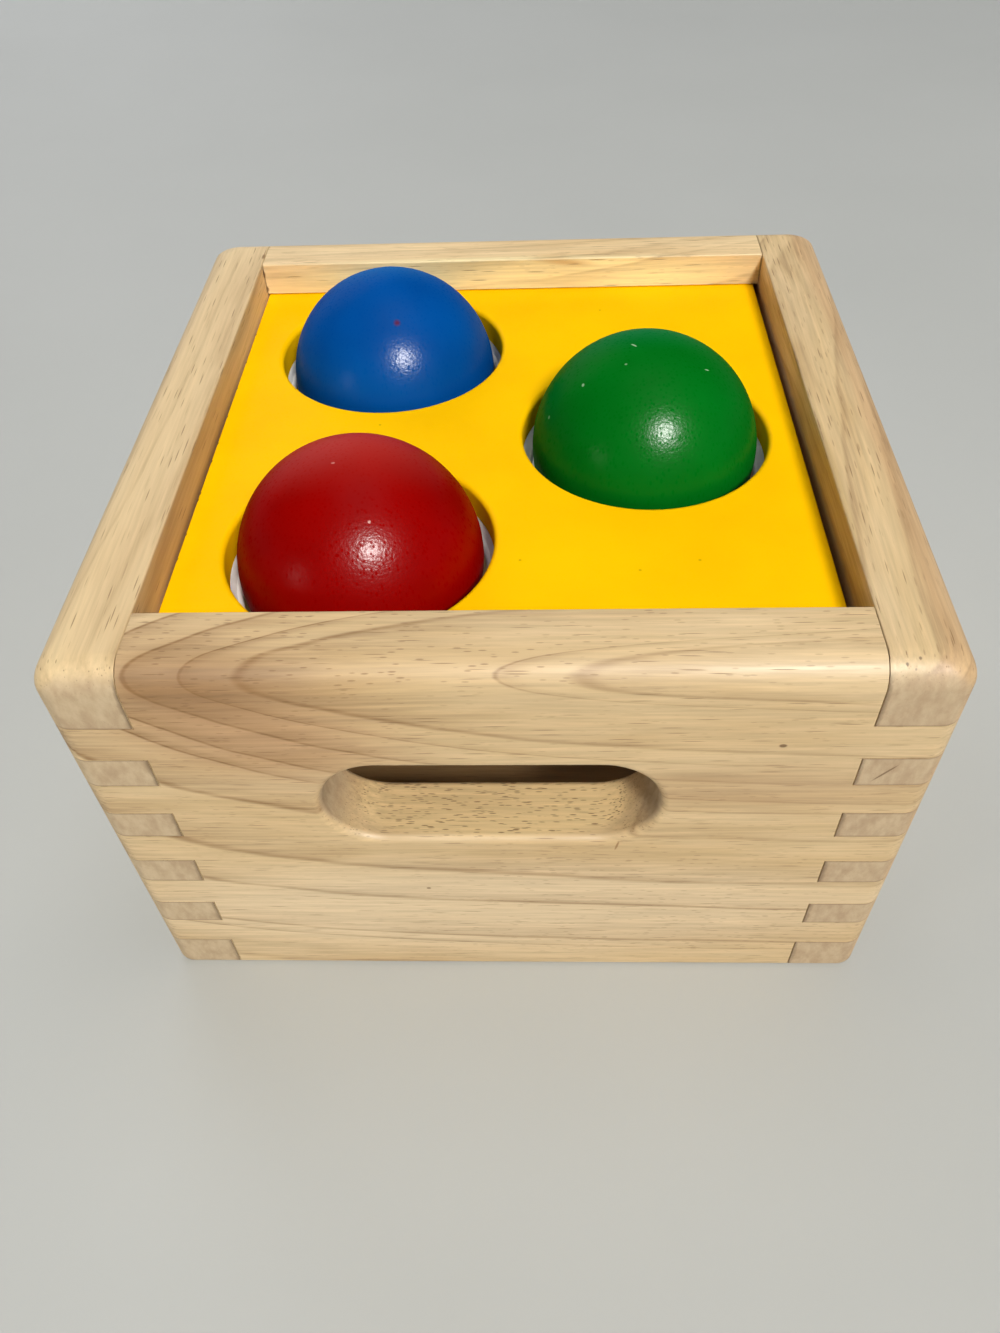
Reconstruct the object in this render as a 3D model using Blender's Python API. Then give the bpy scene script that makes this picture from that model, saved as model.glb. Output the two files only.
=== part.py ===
"""Ball pounding box: painted balls held in elastic rings over a sloping floor, in a box-jointed wooden box.

Metres, +Z up. The origin is the middle of the box's footprint, and the hand slot faces -Y. A ball is pushed
down through its ring, drops to the floor and rolls out through the exit at the foot of the back wall.
"""
import math

import bmesh
import bpy

MM = 0.001

# Box
BOX_WIDTH = 160.0 * MM
BOX_DEPTH = 158.6 * MM
BOX_HEIGHT = 102.0 * MM
END_WALL = 15.0 * MM
SIDE_WALL = 15.5 * MM
TOP_ROUND = 5.7 * MM
CORNER_ROUND = 4.4 * MM
BOTTOM_ROUND = 1.0 * MM

# Box joints: the side walls own the top and the bottom finger of each corner
FINGER_PAIRS = 5
TOP_FINGER = 14.2 * MM
SIDE_FINGER = 8.05 * MM
BOTTOM_FINGER = 11.0 * MM

# Gap between pieces that touch or are glued
FIT_GAP = 0.3 * MM

# Top panel, held in grooves of the front and back walls
PANEL_RECESS = 8.2 * MM
PANEL_THICKNESS = 14.0 * MM
PANEL_TONGUE = 4.0 * MM
PANEL_RELIEF = 1.2 * MM

# Hand slot in the front wall
SLOT_LENGTH = 64.7 * MM
SLOT_HEIGHT = 23.4 * MM
SLOT_SHIFT = -2.5 * MM
SLOT_BELOW_PANEL = 3.8 * MM
SLOT_EDGE_ROUND = 1.8 * MM

# Balls, the holes that they sit in, and how deep each ball's centre sits below the panel's face
BALL_DIAMETER = 49.2 * MM
BLUE_SEAT_DEPTH = 6.4 * MM
GREEN_SEAT_DEPTH = 3.7 * MM
RED_SEAT_DEPTH = 4.5 * MM
HOLE_CLEARANCE = 2.2 * MM
HOLE_END_MARGIN = 1.5 * MM
HOLE_LEFT_MARGIN = 9.2 * MM
HOLE_RIGHT_MARGIN = 7.3 * MM

# Elastic seat rings, each in a groove of its hole, with the lip stretched round the ball
RING_DEPTH = 5.0 * MM
RING_HEIGHT = 6.0 * MM
RING_GROOVE = 1.8 * MM
LIP_BELOW_RING_TOP = 4.0 * MM
LIP_ROUND = 1.5 * MM

# Sloping floor and the rails under it
FLOOR_THICKNESS = 3.6 * MM
FLOOR_FRONT_HEIGHT = 14.0 * MM
FLOOR_BACK_HEIGHT = 7.0 * MM
RAIL_WIDTH = 10.0 * MM
RAIL_LIFT = 0.5 * MM

# Ball exit in the back wall
EXIT_LEG = 7.0 * MM
EXIT_HEADROOM = 3.0 * MM
EXIT_CORNER = 8.0 * MM

# How far a cutter runs past what it cuts
CUT_OVER = 1.0 * MM

# Facets of round shapes
CORNER_STEPS = 5
EDGE_STEPS = 4
SLOT_END_STEPS = 12
HOLE_SEGMENTS = 48
LIP_STEPS = 4
BALL_SEGMENTS = 36
BALL_RINGS = 18

# Worked out from the sizes above
HALF_WIDTH = BOX_WIDTH / 2
HALF_DEPTH = BOX_DEPTH / 2
INNER_X = HALF_WIDTH - SIDE_WALL
INNER_Y = HALF_DEPTH - END_WALL
SIDE_FINGERS_HEIGHT = TOP_FINGER + BOTTOM_FINGER + (FINGER_PAIRS - 1) * SIDE_FINGER
FRONT_FINGER = (BOX_HEIGHT - SIDE_FINGERS_HEIGHT) / FINGER_PAIRS
PANEL_TOP = BOX_HEIGHT - PANEL_RECESS
PANEL_BOTTOM = PANEL_TOP - PANEL_THICKNESS
BALL_RADIUS = BALL_DIAMETER / 2
HOLE_RADIUS = BALL_RADIUS + HOLE_CLEARANCE
HOLE_LEFT_X = -INNER_X + HOLE_LEFT_MARGIN + HOLE_RADIUS
HOLE_RIGHT_X = INNER_X - HOLE_RIGHT_MARGIN - HOLE_RADIUS
HOLE_END_Y = INNER_Y - HOLE_END_MARGIN - HOLE_RADIUS
EXIT_HALF_WIDTH = INNER_X - EXIT_LEG

# Colour name, hole centre, seat depth and paint of each ball
BALLS = (
    ("blue", (HOLE_LEFT_X, HOLE_END_Y), BLUE_SEAT_DEPTH, (0.004, 0.075, 0.32)),
    ("green", (HOLE_RIGHT_X, 0.0), GREEN_SEAT_DEPTH, (0.004, 0.14, 0.022)),
    ("red", (HOLE_LEFT_X, -HOLE_END_Y), RED_SEAT_DEPTH, (0.36, 0.006, 0.005)),
)

RUBBERWOOD = (0.63, 0.45, 0.23)
PLYWOOD = (0.55, 0.38, 0.2)
YELLOW_PAINT = (0.94, 0.58, 0.004)
WHITE_RUBBER = (0.8, 0.79, 0.75)


def clear_scene():
    """Remove every object that is in the scene."""
    for obj in list(bpy.data.objects):
        bpy.data.objects.remove(obj, do_unlink=True)


def paint(name, colour, roughness):
    """A plain material for one sub-part."""
    material = bpy.data.materials.new(name)
    material.use_nodes = True
    shader = material.node_tree.nodes["Principled BSDF"]
    shader.inputs["Base Color"].default_value = (*colour, 1.0)
    shader.inputs["Roughness"].default_value = roughness
    shader.inputs["Metallic"].default_value = 0.0
    return material


def add_object(name, bm, location=(0.0, 0.0, 0.0)):
    """Turn a closed bmesh into a named object with its faces pointing out."""
    bmesh.ops.recalc_face_normals(bm, faces=bm.faces)
    mesh = bpy.data.meshes.new(name)
    bm.to_mesh(mesh)
    bm.free()
    obj = bpy.data.objects.new(name, mesh)
    obj.location = location
    bpy.context.scene.collection.objects.link(obj)
    return obj


def add_piece(name, bm, colour, roughness, location=(0.0, 0.0, 0.0)):
    """A sub-part with a material of its own."""
    obj = add_object(name, bm, location)
    obj.data.materials.append(paint(name, colour, roughness))
    return obj


def add_cutter(name, bm):
    """A guide shape that only cuts other pieces."""
    obj = add_object(name, bm)
    obj.hide_render = True
    obj.display_type = "WIRE"
    return obj


def cut(obj, cutter, operation="DIFFERENCE"):
    """Cut a piece with a guide shape, or keep only what lies inside it."""
    modifier = obj.modifiers.new(cutter.name, "BOOLEAN")
    modifier.operation = operation
    modifier.solver = "EXACT"
    modifier.object = cutter


def smooth(obj):
    """Shade a round piece smooth, with its sharp edges kept."""
    obj.data.shade_smooth()
    obj.data.set_sharp_from_angle(angle=math.radians(40))


def loft(loops):
    """A closed solid through loops that all have the same number of points."""
    bm = bmesh.new()
    rows = [[bm.verts.new(point) for point in loop] for loop in loops]
    count = len(rows[0])
    for lower, upper in zip(rows, rows[1:]):
        for i in range(count):
            j = (i + 1) % count
            bm.faces.new((lower[i], lower[j], upper[j], upper[i]))
    bm.faces.new(rows[0])
    bm.faces.new(rows[-1])
    return bm


def turned(profile, segments):
    """A ring whose closed profile of (radius, height) points is turned about Z."""
    bm = bmesh.new()
    rows = []
    for i in range(segments):
        angle = math.tau * i / segments
        rows.append([bm.verts.new((r * math.cos(angle), r * math.sin(angle), z)) for r, z in profile])
    count = len(profile)
    for i, row in enumerate(rows):
        following = rows[(i + 1) % segments]
        for j in range(count):
            k = (j + 1) % count
            bm.faces.new((row[j], row[k], following[k], following[j]))
    return bm


def arc(centre, radius, start, end, steps):
    """Points on an arc between two angles in degrees, both ends included."""
    points = []
    for i in range(steps + 1):
        angle = math.radians(start + (end - start) * i / steps)
        points.append((centre[0] + radius * math.cos(angle), centre[1] + radius * math.sin(angle)))
    return points


def rounded_rectangle(half_x, half_y, radius):
    """Outline of a rectangle with round corners, centred on the origin."""
    points = []
    for sign_x, sign_y, start in ((1, 1, 0), (-1, 1, 90), (-1, -1, 180), (1, -1, 270)):
        centre = (sign_x * (half_x - radius), sign_y * (half_y - radius))
        points += arc(centre, radius, start, start + 90, CORNER_STEPS)
    return points


def outside_shape():
    """The whole box as one rounded block, which trims the outer edges of all four walls."""
    sections = []
    for i in range(EDGE_STEPS + 1):
        angle = math.radians(90 * i / EDGE_STEPS)
        sections.append((BOTTOM_ROUND * (1 - math.sin(angle)), BOTTOM_ROUND * (1 - math.cos(angle))))
    for i in range(EDGE_STEPS + 1):
        angle = math.radians(90 * i / EDGE_STEPS)
        inset = TOP_ROUND * (1 - math.cos(angle))
        sections.append((inset, BOX_HEIGHT - TOP_ROUND * (1 - math.sin(angle))))
    loops = []
    for inset, z in sections:
        outline = rounded_rectangle(HALF_WIDTH - inset, HALF_DEPTH - inset, CORNER_ROUND)
        loops.append([(x, y, z) for x, y in outline])
    return add_cutter("outside_shape", loft(loops))


def finger_levels():
    """Heights of the fingers from the bottom up, as (low, high, owner)."""
    levels = []
    z = 0.0
    for i in range(FINGER_PAIRS):
        side_top = z + (BOTTOM_FINGER if i == 0 else SIDE_FINGER)
        levels.append((z, side_top, "side"))
        z = side_top + FRONT_FINGER
        levels.append((side_top, z, "front"))
    levels.append((z, BOX_HEIGHT, "side"))
    return levels


def finger_outline(owner, body_half, tip_half):
    """Upright outline of a wall with its fingers at both ends, as (along, height) points."""
    edge = []
    for low, high, holder in finger_levels():
        half, inset = (tip_half, FIT_GAP / 2) if holder == owner else (body_half, -FIT_GAP / 2)
        edge += [(half, low + inset), (half, high - inset)]
    edge[0] = (edge[0][0], -CUT_OVER)
    edge[-1] = (edge[-1][0], BOX_HEIGHT + CUT_OVER)
    return edge + [(-u, z) for u, z in reversed(edge)]


def end_wall(name, side, outside):
    """The front wall (side -1) or the back wall (side 1), grooved for the panel."""
    outline = finger_outline("front", INNER_X - FIT_GAP, HALF_WIDTH + CUT_OVER)
    faces = (side * INNER_Y, side * (HALF_DEPTH + CUT_OVER))
    bm = loft([[(x, y, z) for x, z in outline] for y in faces])
    wall = add_piece(name, bm, RUBBERWOOD, 0.55)
    cut(wall, outside, "INTERSECT")
    cut(wall, panel_groove(name, side))
    return wall


def panel_groove(name, side):
    """Groove that takes the panel's edge in an end wall."""
    low_z = PANEL_BOTTOM - FIT_GAP
    high_z = PANEL_TOP + FIT_GAP
    outline = ((-INNER_X, low_z), (INNER_X, low_z), (INNER_X, high_z), (-INNER_X, high_z))
    faces = (side * (INNER_Y - CUT_OVER), side * (INNER_Y + PANEL_TONGUE + FIT_GAP))
    return add_cutter(name + "_groove", loft([[(x, y, z) for x, z in outline] for y in faces]))


def side_wall(name, side, outside):
    """The left wall (side -1) or the right wall (side 1)."""
    outline = finger_outline("side", INNER_Y - FIT_GAP, HALF_DEPTH + CUT_OVER)
    faces = (side * INNER_X, side * (HALF_WIDTH + CUT_OVER))
    bm = loft([[(x, y, z) for y, z in outline] for x in faces])
    wall = add_piece(name, bm, RUBBERWOOD, 0.55)
    cut(wall, outside, "INTERSECT")
    return wall


def hand_slot():
    """Slot with round ends and rounded edges, through the front wall."""
    radius = SLOT_HEIGHT / 2
    straight = SLOT_LENGTH / 2 - radius
    centre_z = PANEL_BOTTOM - SLOT_BELOW_PANEL - radius
    edges = []
    for i in range(EDGE_STEPS + 1):
        angle = math.radians(90 * i / EDGE_STEPS)
        edges.append((SLOT_EDGE_ROUND * (1 - math.cos(angle)), SLOT_EDGE_ROUND * (1 - math.sin(angle))))
    sections = [(-HALF_DEPTH - CUT_OVER, SLOT_EDGE_ROUND)]
    sections += [(-HALF_DEPTH + depth, grow) for depth, grow in edges]
    sections += [(-INNER_Y - depth, grow) for depth, grow in reversed(edges)]
    sections.append((-INNER_Y + CUT_OVER, SLOT_EDGE_ROUND))
    loops = []
    for y, grow in sections:
        right = arc((SLOT_SHIFT + straight, centre_z), radius + grow, -90, 90, SLOT_END_STEPS)
        left = arc((SLOT_SHIFT - straight, centre_z), radius + grow, 90, 270, SLOT_END_STEPS)
        loops.append([(x, y, z) for x, z in right + left])
    return add_cutter("hand_slot", loft(loops))


def floor_height(y):
    """Height of the floor's upper face at a place along Y."""
    share = (y + INNER_Y) / (HALF_DEPTH + INNER_Y)
    return FLOOR_FRONT_HEIGHT + (FLOOR_BACK_HEIGHT - FLOOR_FRONT_HEIGHT) * share


def ball_exit():
    """Opening at the foot of the back wall, tall enough for a ball on the floor."""
    top = floor_height(INNER_Y) + BALL_DIAMETER + EXIT_HEADROOM
    corner = (EXIT_HALF_WIDTH - EXIT_CORNER, top - EXIT_CORNER)
    right = [(EXIT_HALF_WIDTH, -CUT_OVER)] + arc(corner, EXIT_CORNER, 0, 90, CORNER_STEPS)
    outline = right + [(-x, z) for x, z in reversed(right)]
    faces = (INNER_Y - CUT_OVER, HALF_DEPTH + CUT_OVER)
    return add_cutter("ball_exit", loft([[(x, y, z) for x, z in outline] for y in faces]))


def ball_hole(colour, centre):
    """Hole of one ball through the panel, with the groove that its ring sits in."""
    groove = HOLE_RADIUS + RING_GROOVE
    groove_top = PANEL_TOP - RING_DEPTH
    groove_bottom = groove_top - RING_HEIGHT
    sections = (
        (HOLE_RADIUS, PANEL_BOTTOM - CUT_OVER),
        (HOLE_RADIUS, groove_bottom),
        (groove, groove_bottom),
        (groove, groove_top),
        (HOLE_RADIUS, groove_top),
        (HOLE_RADIUS, PANEL_TOP + CUT_OVER),
    )
    loops = []
    for radius, z in sections:
        circle = arc(centre, radius, 0, 360 - 360 / HOLE_SEGMENTS, HOLE_SEGMENTS - 1)
        loops.append([(x, y, z) for x, y in circle])
    return add_cutter("hole_" + colour, loft(loops))


def top_panel():
    """Painted panel with a hole for each ball, short of the right wall."""
    left = -INNER_X + FIT_GAP
    right = INNER_X - PANEL_RELIEF
    end = INNER_Y + PANEL_TONGUE
    outline = ((left, -end), (right, -end), (right, end), (left, end))
    bm = loft([[(x, y, z) for x, y in outline] for z in (PANEL_BOTTOM, PANEL_TOP)])
    panel = add_piece("top_panel", bm, YELLOW_PAINT, 0.45)
    for colour, centre, _, _ in BALLS:
        cut(panel, ball_hole(colour, centre))
    return panel


def seat_ring(colour, centre, seat_depth):
    """Elastic ring whose round lip closes on the ball just below the ball's widest part."""
    outer = HOLE_RADIUS + RING_GROOVE - FIT_GAP
    top = -RING_DEPTH - FIT_GAP
    bottom = -RING_DEPTH - RING_HEIGHT + FIT_GAP
    lip_height = -RING_DEPTH - LIP_BELOW_RING_TOP
    lip_radius = math.sqrt(BALL_RADIUS ** 2 - (lip_height + seat_depth) ** 2) + FIT_GAP
    lip = arc((lip_radius + LIP_ROUND, lip_height), LIP_ROUND, 120, 240, LIP_STEPS)
    profile = [(outer, top), (HOLE_RADIUS, top), *lip, (HOLE_RADIUS, bottom), (outer, bottom)]
    ring = add_piece("seat_ring_" + colour, turned(profile, HOLE_SEGMENTS), WHITE_RUBBER, 0.5,
                     (*centre, PANEL_TOP))
    smooth(ring)
    return ring


def ball(colour, centre, seat_depth, coat):
    """One painted ball, with its origin at its centre on the upright axis that it moves along."""
    bm = bmesh.new()
    bmesh.ops.create_uvsphere(bm, u_segments=BALL_SEGMENTS, v_segments=BALL_RINGS, radius=BALL_RADIUS)
    piece = add_piece("ball_" + colour, bm, coat, 0.3, (*centre, PANEL_TOP - seat_depth))
    piece.data.shade_smooth()
    return piece


def ramp_floor():
    """Sloping floor whose tongue runs out through the exit."""
    front = -INNER_Y + FIT_GAP
    back = INNER_Y - FIT_GAP
    half = INNER_X - FIT_GAP
    tongue = EXIT_HALF_WIDTH - FIT_GAP
    right = [(half, front), (half, back), (tongue, back), (tongue, HALF_DEPTH)]
    outline = right + [(-x, y) for x, y in reversed(right)]
    drops = (FLOOR_THICKNESS, 0.0)
    bm = loft([[(x, y, floor_height(y) - drop) for x, y in outline] for drop in drops])
    return add_piece("ramp_floor", bm, PLYWOOD, 0.6)


def ramp_rail(name, side):
    """Tapered rail along a side wall, under the floor's edge."""
    front = -INNER_Y + FIT_GAP
    back = INNER_Y - FIT_GAP
    under = FLOOR_THICKNESS + FIT_GAP
    outline = (
        (front, RAIL_LIFT),
        (back, RAIL_LIFT),
        (back, floor_height(back) - under),
        (front, floor_height(front) - under),
    )
    outer = INNER_X - FIT_GAP
    faces = (side * (outer - RAIL_WIDTH), side * outer)
    bm = loft([[(x, y, z) for y, z in outline] for x in faces])
    return add_piece(name, bm, RUBBERWOOD, 0.6)


def main():
    """Build every sub-part in its place."""
    clear_scene()
    outside = outside_shape()
    front = end_wall("front_wall", -1, outside)
    cut(front, hand_slot())
    back = end_wall("back_wall", 1, outside)
    cut(back, ball_exit())
    side_wall("left_wall", -1, outside)
    side_wall("right_wall", 1, outside)
    top_panel()
    for colour, centre, seat_depth, coat in BALLS:
        seat_ring(colour, centre, seat_depth)
        ball(colour, centre, seat_depth, coat)
    ramp_floor()
    ramp_rail("left_ramp_rail", -1)
    ramp_rail("right_ramp_rail", 1)


main()
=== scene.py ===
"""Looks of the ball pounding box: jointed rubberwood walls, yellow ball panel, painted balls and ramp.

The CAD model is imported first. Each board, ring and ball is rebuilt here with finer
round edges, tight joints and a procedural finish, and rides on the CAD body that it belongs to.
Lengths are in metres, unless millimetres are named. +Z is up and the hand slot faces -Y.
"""
from __future__ import annotations

import logging
import math
from dataclasses import dataclass
from enum import Enum

import bmesh
import bpy
from mathutils import Matrix, Vector

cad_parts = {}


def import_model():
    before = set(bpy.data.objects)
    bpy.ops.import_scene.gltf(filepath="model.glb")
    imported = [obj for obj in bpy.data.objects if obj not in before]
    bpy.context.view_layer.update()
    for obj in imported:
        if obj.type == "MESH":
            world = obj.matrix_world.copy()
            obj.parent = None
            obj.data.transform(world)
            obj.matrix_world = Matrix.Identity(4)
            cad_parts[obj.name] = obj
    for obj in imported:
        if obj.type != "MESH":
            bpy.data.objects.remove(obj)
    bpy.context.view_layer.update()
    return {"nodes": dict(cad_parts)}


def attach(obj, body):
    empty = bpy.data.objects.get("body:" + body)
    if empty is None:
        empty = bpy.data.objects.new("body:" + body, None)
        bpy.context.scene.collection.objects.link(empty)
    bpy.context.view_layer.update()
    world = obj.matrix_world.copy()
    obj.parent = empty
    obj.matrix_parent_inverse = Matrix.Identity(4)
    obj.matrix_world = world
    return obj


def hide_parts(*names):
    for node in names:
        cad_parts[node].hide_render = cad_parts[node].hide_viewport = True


LOG = logging.getLogger("ball_pounding_box")
MM = 0.001
SHARP = math.radians(30.0)  # an edge that turns by more than this stays sharp
NOISE = (0.3, 0.7)  # nearly all values of a noise lie between these two
SMOOTH = {"interpolation_type": "SMOOTHSTEP"}
# How every node of a kind is set, and which of its outputs is used where that isn't the first.
SETTINGS = {"ShaderNodeMix": {"data_type": "RGBA"}, "GeometryNodeMeshBoolean": {"solver": "EXACT"}}
OUTPUTS = {"ShaderNodeMix": 2, "ShaderNodeTexNoise": "Fac", "ShaderNodeTexCoord": "Object",
           "ShaderNodeNewGeometry": "Normal", "GeometryNodeObjectInfo": "Geometry"}

Point2 = tuple[float, float]
Point3 = tuple[float, float, float]
Loops = list[list[Point3]]
Colour = tuple[float, float, float, float]
Material = bpy.types.Material
Node = bpy.types.Node
Object = bpy.types.Object
Socket = bpy.types.NodeSocket
Tree = bpy.types.NodeTree


def linear(code: str) -> Colour:
    """Turn an sRGB hex colour into the linear values that shader sockets take.

    Args:
        code: Colour such as "#e0c193".

    Returns:
        Linear red, green, blue and an alpha of 1.
    """
    channels = []
    for start in (1, 3, 5):
        value = int(code[start:start + 2], 16) / 255
        channels.append(value / 12.92 if value <= 0.04045 else ((value + 0.055) / 1.055) ** 2.4)
    return (*channels, 1.0)


def feed(tree: Tree, node: Node, inputs: dict | tuple) -> None:
    """Set or link the inputs of a node.

    Args:
        tree: Node tree that the node is in.
        node: Node to feed.
        inputs: In order or by key, a value, a socket to link from, or a list of such sockets.
    """
    for key, value in inputs.items() if isinstance(inputs, dict) else enumerate(inputs):
        for source in value if isinstance(value, list) else [value]:
            if isinstance(source, Socket):
                tree.links.new(source, node.inputs[key])
            else:
                node.inputs[key].default_value = source


def add(tree: Tree, kind: str, inputs: dict | tuple = (), out: int | str | None = None,
        **settings: object) -> Socket:
    """Add a node with its settings, values and links.

    Args:
        tree: Node tree that the node goes into.
        kind: Blender's type name of the node.
        inputs: What feeds its inputs, in order or by key.
        out: Output that is used, if not the usual one of its kind.
        **settings: Properties of the node itself.

    Returns:
        That output of the new node.
    """
    made = tree.nodes.new(kind)
    for name, value in (SETTINGS.get(kind, {}) | settings).items():
        setattr(made, name, value)
    feed(tree, made, inputs)
    return made.outputs[OUTPUTS.get(kind, 0) if out is None else out]


def arc(centre: Point2, radius: float, start: float, end: float, steps: int) -> list[Point2]:
    """Points on an arc between two angles in degrees, both ends included.

    Args:
        centre: Middle of the arc.
        radius: Radius of the arc.
        start: Angle of the first point.
        end: Angle of the last point.
        steps: Number of facets between them.

    Returns:
        The points in order.
    """
    points = []
    for i in range(steps + 1):
        angle = math.radians(start + (end - start) * i / steps)
        points.append((centre[0] + radius * math.cos(angle), centre[1] + radius * math.sin(angle)))
    return points


def add_object(name: str, bm: bmesh.types.BMesh) -> Object:
    """Turn a bmesh into an object at the origin, with its faces pointing out.

    Args:
        name: Name of the object and its mesh.
        bm: Shape, which is freed.

    Returns:
        The new object.
    """
    bmesh.ops.recalc_face_normals(bm, faces=bm.faces)
    mesh = bpy.data.meshes.new(name)
    bm.to_mesh(mesh)
    bm.free()
    obj = bpy.data.objects.new(name, mesh)
    bpy.context.scene.collection.objects.link(obj)
    return obj


def loft(name: str, *solids: Loops) -> Object:
    """An object of one or more closed solids, each through loops with the same number of points.

    Args:
        name: Name of the object.
        *solids: Loops of each solid, from one end to the other.

    Returns:
        The new object.
    """
    bm = bmesh.new()
    for loops in solids:
        rows = [[bm.verts.new(point) for point in loop] for loop in loops]
        count = len(rows[0])
        for lower, upper in zip(rows, rows[1:]):
            for i in range(count):
                j = (i + 1) % count
                bm.faces.new((lower[i], lower[j], upper[j], upper[i]))
        bm.faces.new(rows[0])
        bm.faces.new(rows[-1])
    return add_object(name, bm)


def remove(*objects: Object) -> None:
    """Remove guide shapes that have done their work."""
    for obj in objects:
        bpy.data.objects.remove(obj, do_unlink=True)


def geometry_tree(name: str, sockets: dict[str, str]) -> tuple[Tree, bpy.types.NodeOutputs]:
    """Start a geometry node tree with a geometry input and output and named inputs.

    Args:
        name: Name of the tree.
        sockets: Name of each further input to its socket type.

    Returns:
        The tree and the values that it is given.
    """
    tree = bpy.data.node_groups.new(name, "GeometryNodeTree")
    tree.interface.new_socket("Geometry", in_out="OUTPUT", socket_type="NodeSocketGeometry")
    for label, kind in {"Geometry": "Geometry", **sockets}.items():
        tree.interface.new_socket(label, in_out="INPUT", socket_type="NodeSocket" + kind)
    return tree, add(tree, "NodeGroupInput").node.outputs


def end_tree(tree: Tree, geometry: Socket, material: Socket) -> Tree:
    """Close a tree: realised, smooth with its sharp edges kept, and with its material set.

    Args:
        tree: Tree to close.
        geometry: What the tree has made so far.
        material: Material input of the tree.

    Returns:
        The same tree.
    """
    real = add(tree, "GeometryNodeRealizeInstances", (geometry,))
    smooth = add(tree, "GeometryNodeSetShadeSmooth", {0: real, 2: True}, domain="FACE")
    angle = add(tree, "GeometryNodeInputMeshEdgeAngle")
    corner = add(tree, "FunctionNodeCompare", (angle, SHARP), operation="GREATER_THAN")
    edged = add(tree, "GeometryNodeSetShadeSmooth", (smooth, corner, False), domain="EDGE")
    dressed = add(tree, "GeometryNodeSetMaterial", {0: edged, "Material": material})
    feed(tree, tree.nodes.new("NodeGroupOutput"), (dressed,))
    return tree


def settle(obj: Object) -> Object:
    """Turn an object's modifiers into a plain mesh.

    Args:
        obj: Object whose modifiers are finished.

    Returns:
        The same object with no modifiers and no empty material slots left.
    """
    graph = bpy.context.evaluated_depsgraph_get()
    mesh = bpy.data.meshes.new_from_object(obj.evaluated_get(graph), depsgraph=graph)
    for number in reversed(range(len(mesh.materials))):
        if mesh.materials[number] is None:
            mesh.materials.pop(index=number)
    obj.modifiers.clear()
    obj.data = mesh
    mesh.name = obj.name
    return obj


def grow(obj: Object, tree: Tree, values: dict) -> Object:
    """Run a geometry node tree on an object and keep its result as a plain mesh.

    Args:
        obj: Object whose mesh is the tree's geometry input.
        tree: Tree to run.
        values: Value of each named input.

    Returns:
        The same object with the tree's mesh.
    """
    modifier = obj.modifiers.new(tree.name, "NODES")
    modifier.node_group = tree
    for item in tree.interface.items_tree:
        if item.in_out == "INPUT" and item.name in values:
            modifier[item.identifier] = values[item.name]
    even = obj.modifiers.new("even_normals", "WEIGHTED_NORMAL")
    even.mode = "FACE_AREA"
    even.keep_sharp = True
    return settle(obj)


def carry(piece: Object, body: str, node: str) -> None:
    """Let a finished piece stand for a CAD node and move with its body.

    Args:
        piece: Finished piece.
        body: CAD body that it rides on.
        node: CAD node that it stands for.
    """
    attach(piece, body)
    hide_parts(node)
    LOG.info("%s: %d faces, rides on %s", piece.name, len(piece.data.polygons), body)


@dataclass(frozen=True)
class Mark:
    """A patch or small blemish in a finish, as a soft-edged ellipsoid."""

    centre: Point3  # place on the piece, in millimetres
    reach: Point3  # half length each way, in millimetres
    colour: str  # sRGB hex colour in its middle
    strength: float = 0.8  # share of that colour in its middle
    turn: Point3 = (0.0, 0.0, 0.0)  # rotation in degrees about X, Y and Z
    core: float = 0.5  # share of the reach that has the full colour


def mark_share(tree: Tree, place: Socket, mark: Mark) -> Socket:
    """Share of a mark at each place.

    Args:
        tree: Material's node tree.
        place: Object coordinates.
        mark: Mark to find the share of.

    Returns:
        Its strength in its core, falling to nothing at its reach.
    """
    local = add(tree, "ShaderNodeMapping", {
        "Vector": place,
        "Location": tuple(length * MM for length in mark.centre),
        "Rotation": tuple(math.radians(angle) for angle in mark.turn),
        "Scale": tuple(length * MM for length in mark.reach),
    }, vector_type="TEXTURE")
    far = add(tree, "ShaderNodeVectorMath", (local,), "Value", operation="LENGTH")
    return add(tree, "ShaderNodeMapRange", (far, mark.core, 1.0, mark.strength, 0.0), **SMOOTH)


def blemished(tree: Tree, place: Socket, colour: Socket, marks: tuple[Mark, ...]) -> Socket:
    """Lay marks over a colour.

    Args:
        tree: Material's node tree.
        place: Object coordinates.
        colour: Colour under the marks.
        marks: Marks, in order.

    Returns:
        The colour with the marks on it.
    """
    for mark in marks:
        share = mark_share(tree, place, mark)
        colour = add(tree, "ShaderNodeMix", {0: share, 6: colour, 7: linear(mark.colour)})
    return colour


def mottled(tree: Tree, noise: Socket, span: Point2, first: str, second: str) -> Socket:
    """Mix two colours by a noise.

    Args:
        tree: Material's node tree.
        noise: Noise that chooses between them.
        span: Values of the noise at which the first and the second colour are pure.
        first: sRGB hex colour of low values.
        second: sRGB hex colour of high values.

    Returns:
        The mixed colour.
    """
    share = add(tree, "ShaderNodeMapRange", (noise, *span))
    return add(tree, "ShaderNodeMix", {0: share, 6: linear(first), 7: linear(second)})


@dataclass(frozen=True)
class Finish:
    """A procedural finish."""

    name: str  # name of the material, for the real material and process

    def build(self) -> Material:
        """Build the material.

        Returns:
            The finished material.
        """
        material = bpy.data.materials.new(self.name)
        material.use_nodes = True
        self.dress(material.node_tree, material.node_tree.nodes["Principled BSDF"])
        return material

    def dress(self, tree: Tree, shader: Node) -> None:
        """Give the material its look, which each finish does in its own way."""
        raise NotImplementedError


class Grain(Enum):
    """Way that a board's grain runs, as the turn about Z that lays it along X."""

    ALONG_X = 0.0
    ALONG_Y = -math.pi / 2


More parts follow.
